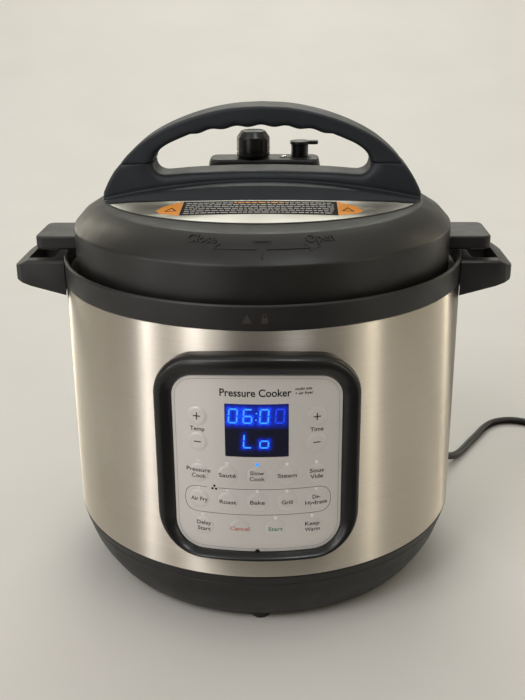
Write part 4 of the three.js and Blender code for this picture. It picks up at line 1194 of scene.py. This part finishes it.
def make_inside():
    """The turned parts inside, then the lugs, legs, level marks, sensor coil and shield."""
    for name, material, body, stands_for, seg, profile in (
        ("pot_bowl", "pot_steel", "pot", "inner_pot", 224, [
            (0.01, 60.3), (108, 60.3, 3), (115.5, 62.5, 4), (119.5, 69, 5), (119.5, 245.5, 1), (121, 247, 0.6),
            (126.3, 247.4, 0.5), (126.3, 248.6, 0.5), (119.9, 248.3, 0.6), (118.3, 246.2, 1), (118.3, 70.2, 5),
            (114, 65.5, 4), (107, 64.3, 3), (0.01, 64.3)]),
        ("seal", "silicone", "lid_seal", "sealing_ring", 192, [
            (119, 249.3, 0.4), (128, 249.3, 0.8), (129.5, 250.8, 0.8), (129.5, 258.4, 0.6), (120.5, 258.4, 0.5),
            (120.5, 256.4, 0.4), (126.6, 256.4, 0.6), (126.6, 251.3, 0.6), (119, 251.3, 0.5)]),
        ("seal_rack", "spring_steel", "lid_seal", "ring_rack", 192, circle(123.3, 253.9, 1.5, 14)),
        ("inner_lid_bowl", "pot_steel", "lid", "inner_lid", 192, [
            (139, 241.2, 0.3), (140.2, 241.2, 0.3), (140.2, 262, 2), (136, 265.4, 2), (100, 272), (50, 277),
            (0.01, 278.5), (0.01, 277.3), (50, 275.8), (99.6, 270.8, 2), (108, 262.8, 2), (112, 259.4, 1),
            (136.5, 259.4, 1), (139, 257.5, 1)]),
        ("tub", "aluminium", "base", "inner_housing", 192, [
            (5, 38), (121, 38, 3), (128.5, 45.5, 4), (128.5, 243.5, 0.4), (133.2, 243.5, 0.3), (133.2, 244.5, 0.3),
            (127.5, 244.5, 0.5), (127.5, 46, 4), (120.6, 39, 3), (5, 39)]),
        ("flange_ring", "pot_steel", "base", "locking_flange", 192, [
            (127.5, 244.8), (131.2, 244.8), (131.2, 248.8, 0.5), (127.5, 248.8, 0.5)]),
        ("sensor_button", "aluminium", "sensor", "temperature_sensor", 64, [
            (0.01, 50.5), (7.5, 50.5, 0.4), (7.5, 58, 0.3), (11.8, 58.6, 0.3), (11.8, 60, 0.5), (0.01, 60)]),
    ):
        piece(name, lathe(profile, seg), material, body, stands_for)
    for k, z in enumerate((119.0, 158.0, 197.0)):
        mark = [(118.35, z), (118.12, z + 0.15), (118.12, z + 0.55), (118.35, z + 0.7)]
        piece(f"pot_level_{k}", lathe(mark, 40, span=(60, 120)), "spring_steel", "pot")
    piece("inner_lid_lugs", lug_ring(134.6, 139.6, 241.3, 243.6, 12), "pot_steel", "lid", bevel=0.4)
    piece("flange_lugs", lug_ring(130, 137.6, 246.3, 248.8, 13), "pot_steel", "base", bevel=0.4)
    plate = lathe([(12.8, 50), (92, 50, 2), (96, 53, 2), (96, 57.5, 2), (92, 60, 2), (12.8, 60, 0.6)], 160)
    legs = [lathe([(0.01, 39.3), (4, 39.3, 0.4), (4, 51), (0.01, 51)], 24, at)
            for at in ((70 * math.cos(rad(a)), 70 * math.sin(rad(a))) for a in (30, 150, 270))]
    piece("heater", joined(plate, *legs), "aluminium", "base", "heating_plate")
    make_sensor_coil()
    pipe = [(1.8, 266, 0.2), (6.5, 266, 0.4), (6.5, 270, 0.4), (3.4, 270), (3.4, 317.5, 0.5), (1.8, 317.5, 0.2)]
    piece("vent_pipe", lathe(pipe, 40, VALVE_AT), "spring_steel", "lid", "steam_pipe")
    from_cad("vent_shield", "anti_block_shield", "pot_steel", "lid", 0.3, 2, 40)


def make_sensor_coil():
    """The spring under the sensor, flattened as the sensor is pressed."""
    turns, per, wire, middle_r = 4.5, 28, 0.75, 5.9
    rings = []
    for k in range(int(turns * per) + 1):
        t = k / per
        rise = 0.06 * min(t, 1) + 0.88 * min(max((t - 1) / (turns - 2), 0), 1) + 0.06 * max(t - turns + 1, 0)
        out, up = Vector((math.cos(TAU * t), math.sin(TAU * t), 0)), Vector((0, 0, 1))
        rings.append([tuple(out * r + up * z) for r, z in circle(middle_r, 40.2 + 9.3 * rise, wire, 10)])
    coil = piece("sensor_coil", loft(rings), "spring_steel", "base", "sensor_spring", sharp=50)
    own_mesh(coil)


make_inside()
KEPT = {"bottom_cover": "black_plastic", "power_board": "circuit_board",
        "control_board": "circuit_board", "display_module": "white_plastic"}
for node, material in KEPT.items():
    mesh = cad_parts[node].data
    mesh.materials.clear()
    mesh.materials.append(MATERIALS[material])


# ---------- studio ----------
FLOOR_HALF, COVE_AT, COVE_R, WALL_R = 4.6, 0.9, 2.2, 4.5      # metres


def make_stage():
    floor = Nodes("floor", Roughness=0.9, Specular_IOR_Level=0.0)
    floor.mottle(6, 4, (0.745, 0.73, 0.705), (0.775, 0.76, 0.735))
    floor.bump(floor.noise(floor.place(), 120, 3), 0.05, 0.0004)
    path = [(-FLOOR_HALF, 0.0), (COVE_AT, 0.0)]
    path += [(COVE_AT + y, COVE_R + z) for y, z in (around(COVE_R, rad(3 * k)) for k in range(1, 31))]
    rings = [[(x, y, z) for y, z in path] for x in (-FLOOR_HALF, FLOOR_HALF)]
    stage_sheet("floor", loft(rings, False, False, False), floor.owner)
    # a wall all round, far off, that only the camera sees: reflections see the world instead
    wall = [[(*around(WALL_R, rad(a)), z) for a in range(0, 360, 5)] for z in (0.0, 2.0, 5.0)]
    sheet = stage_sheet("wall", loft(wall, True, False, False), floor.owner)
    sheet.visible_glossy = sheet.visible_diffuse = sheet.visible_shadow = sheet.visible_transmission = False


def stage_sheet(name, shape, material):
    mesh = new_mesh(name, *shape)
    mesh.materials.append(material)
    mesh.polygons.foreach_set("use_smooth", [True] * len(mesh.polygons))
    obj = new_object(name, mesh)
    return obj


def area(name, at, look, size, power, color=(1, 1, 1)):
    lamp = bpy.data.lights.new(name, "AREA")
    lamp.shape = "RECTANGLE"
    lamp.size, lamp.size_y = size
    lamp.energy = power
    lamp.color = color
    obj = new_object(name, lamp)
    obj.location = at
    obj.rotation_euler = (Vector(look) - Vector(at)).to_track_quat("-Z", "Y").to_euler()
    return obj


# the studio's brightness by direction round the object: degrees from the front, then colour
STUDIO = [
    (-180, (0.2, 0.2, 0.16)), (-146, (0.1, 0.1, 0.07)), (-112, (0.4, 0.36, 0.27)), (-97, (0.36, 0.32, 0.26)),
    (-90, (0.18, 0.15, 0.14)), (-84, (0.48, 0.43, 0.4)), (-79, (0.22, 0.19, 0.18)), (-71, (0.52, 0.49, 0.48)),
    (-61, (0.85, 0.82, 0.8)), (-50, (0.3, 0.27, 0.25)), (-36, (0.7, 0.68, 0.68)), (-12, (0.1, 0.08, 0.06)),
    (30, (0.16, 0.13, 0.1)), (60, (0.75, 0.68, 0.55)), (80, (0.4, 0.35, 0.24)), (108, (0.3, 0.26, 0.18)),
    (122, (0.5, 0.45, 0.33)), (134, (0.05, 0.05, 0.03)), (180, (0.2, 0.2, 0.16)),
]


def make_world():
    """A soft room of light and dark uprights, brighter overhead."""
    sky = Nodes("studio", "worlds", "Background", Strength=1.0)
    split = sky.add("SeparateXYZ")
    sky.link(sky.add("TexCoord").outputs["Generated"], split.inputs[0])
    x, y, z = split.outputs
    share = sky.spread(sky.bearing(x, y), 0, 1, -math.pi, math.pi)
    room = sky.ramp(share, *[((degrees + 180) / 360, color) for degrees, color in STUDIO])
    high = sky.spread(z, 0, 1, 0.45, 0.95, interpolation_type="SMOOTHSTEP")
    mix = sky.add("Mix", data_type="RGBA")
    sky.link(high, mix.inputs["Factor"])
    sky.link(room, mix.inputs["A"])
    mix.inputs["B"].default_value = (0.75, 0.74, 0.7, 1)
    sky.to(mix.outputs["Result"], "Color")
    bpy.context.scene.world = sky.owner


def upright(name, degrees, away, width, power, color):
    """A tall narrow light, seen in the steel as a streak at an angle round from the front."""
    tall = 1.2
    at = (*around(away, rad(degrees)), tall / 2 + 0.02)
    strip = area(name, at, (0, 0, at[2]), (width, tall), power, color)
    strip.visible_camera = strip.visible_diffuse = False


def card(name, span, grey):
    """A dark card on the floor that only reflections see: it keeps the steel from going flat."""
    points = [(*around(r, rad(a)), 0.002) for r in (0.3, 3.0) for a in (span[0], sum(span) / 2, span[1])]
    cloth = Nodes(name, Roughness=0.9)
    cloth.mottle(40, 2, (grey,) * 3, (grey * 1.1,) * 3)
    obj = stage_sheet(name, (points, [(0, 1, 4, 3), (1, 2, 5, 4)]), cloth.owner)
    obj.visible_camera = obj.visible_diffuse = obj.visible_shadow = False


def make_lights():
    make_world()
    bpy.context.scene.view_settings.view_transform = "Standard"
    area("key", (-1.3, -1.6, 2.0), (0, 0, 0.2), (1.2, 1.2), 18, (1, 0.97, 0.93))
    area("back", (0.0, 2.3, 2.1), (0, 0, 0.3), (1.9, 1.2), 26, (1, 1, 0.9))
    glint = area("glint", (0.5, -1.0, 2.0), (0, 0, 0.25), (0.35, 0.35), 7, (0.96, 0.98, 1))
    glint.visible_camera = glint.visible_diffuse = False
    for name, *strip in (("far_left", -135, 1.4, 0.05, 4.0, (1, 0.94, 0.76)),
                         ("left", -62, 1.5, 0.13, 4.4, (1, 0.97, 0.96)),
                         ("front", -35, 1.6, 0.26, 3.8, (1, 0.98, 0.98)),
                         ("right", 61, 1.5, 0.16, 2.2, (1, 0.93, 0.78)),
                         ("far_right", 121, 1.4, 0.05, 2.2, (1, 0.9, 0.7))):
        upright("streak_" + name, *strip)
    card("card_front", (-18, 46), 0.12)
    card("card_left", (-170, -140), 0.1)
    card("card_right", (128, 170), 0.06)


make_stage()
make_lights()
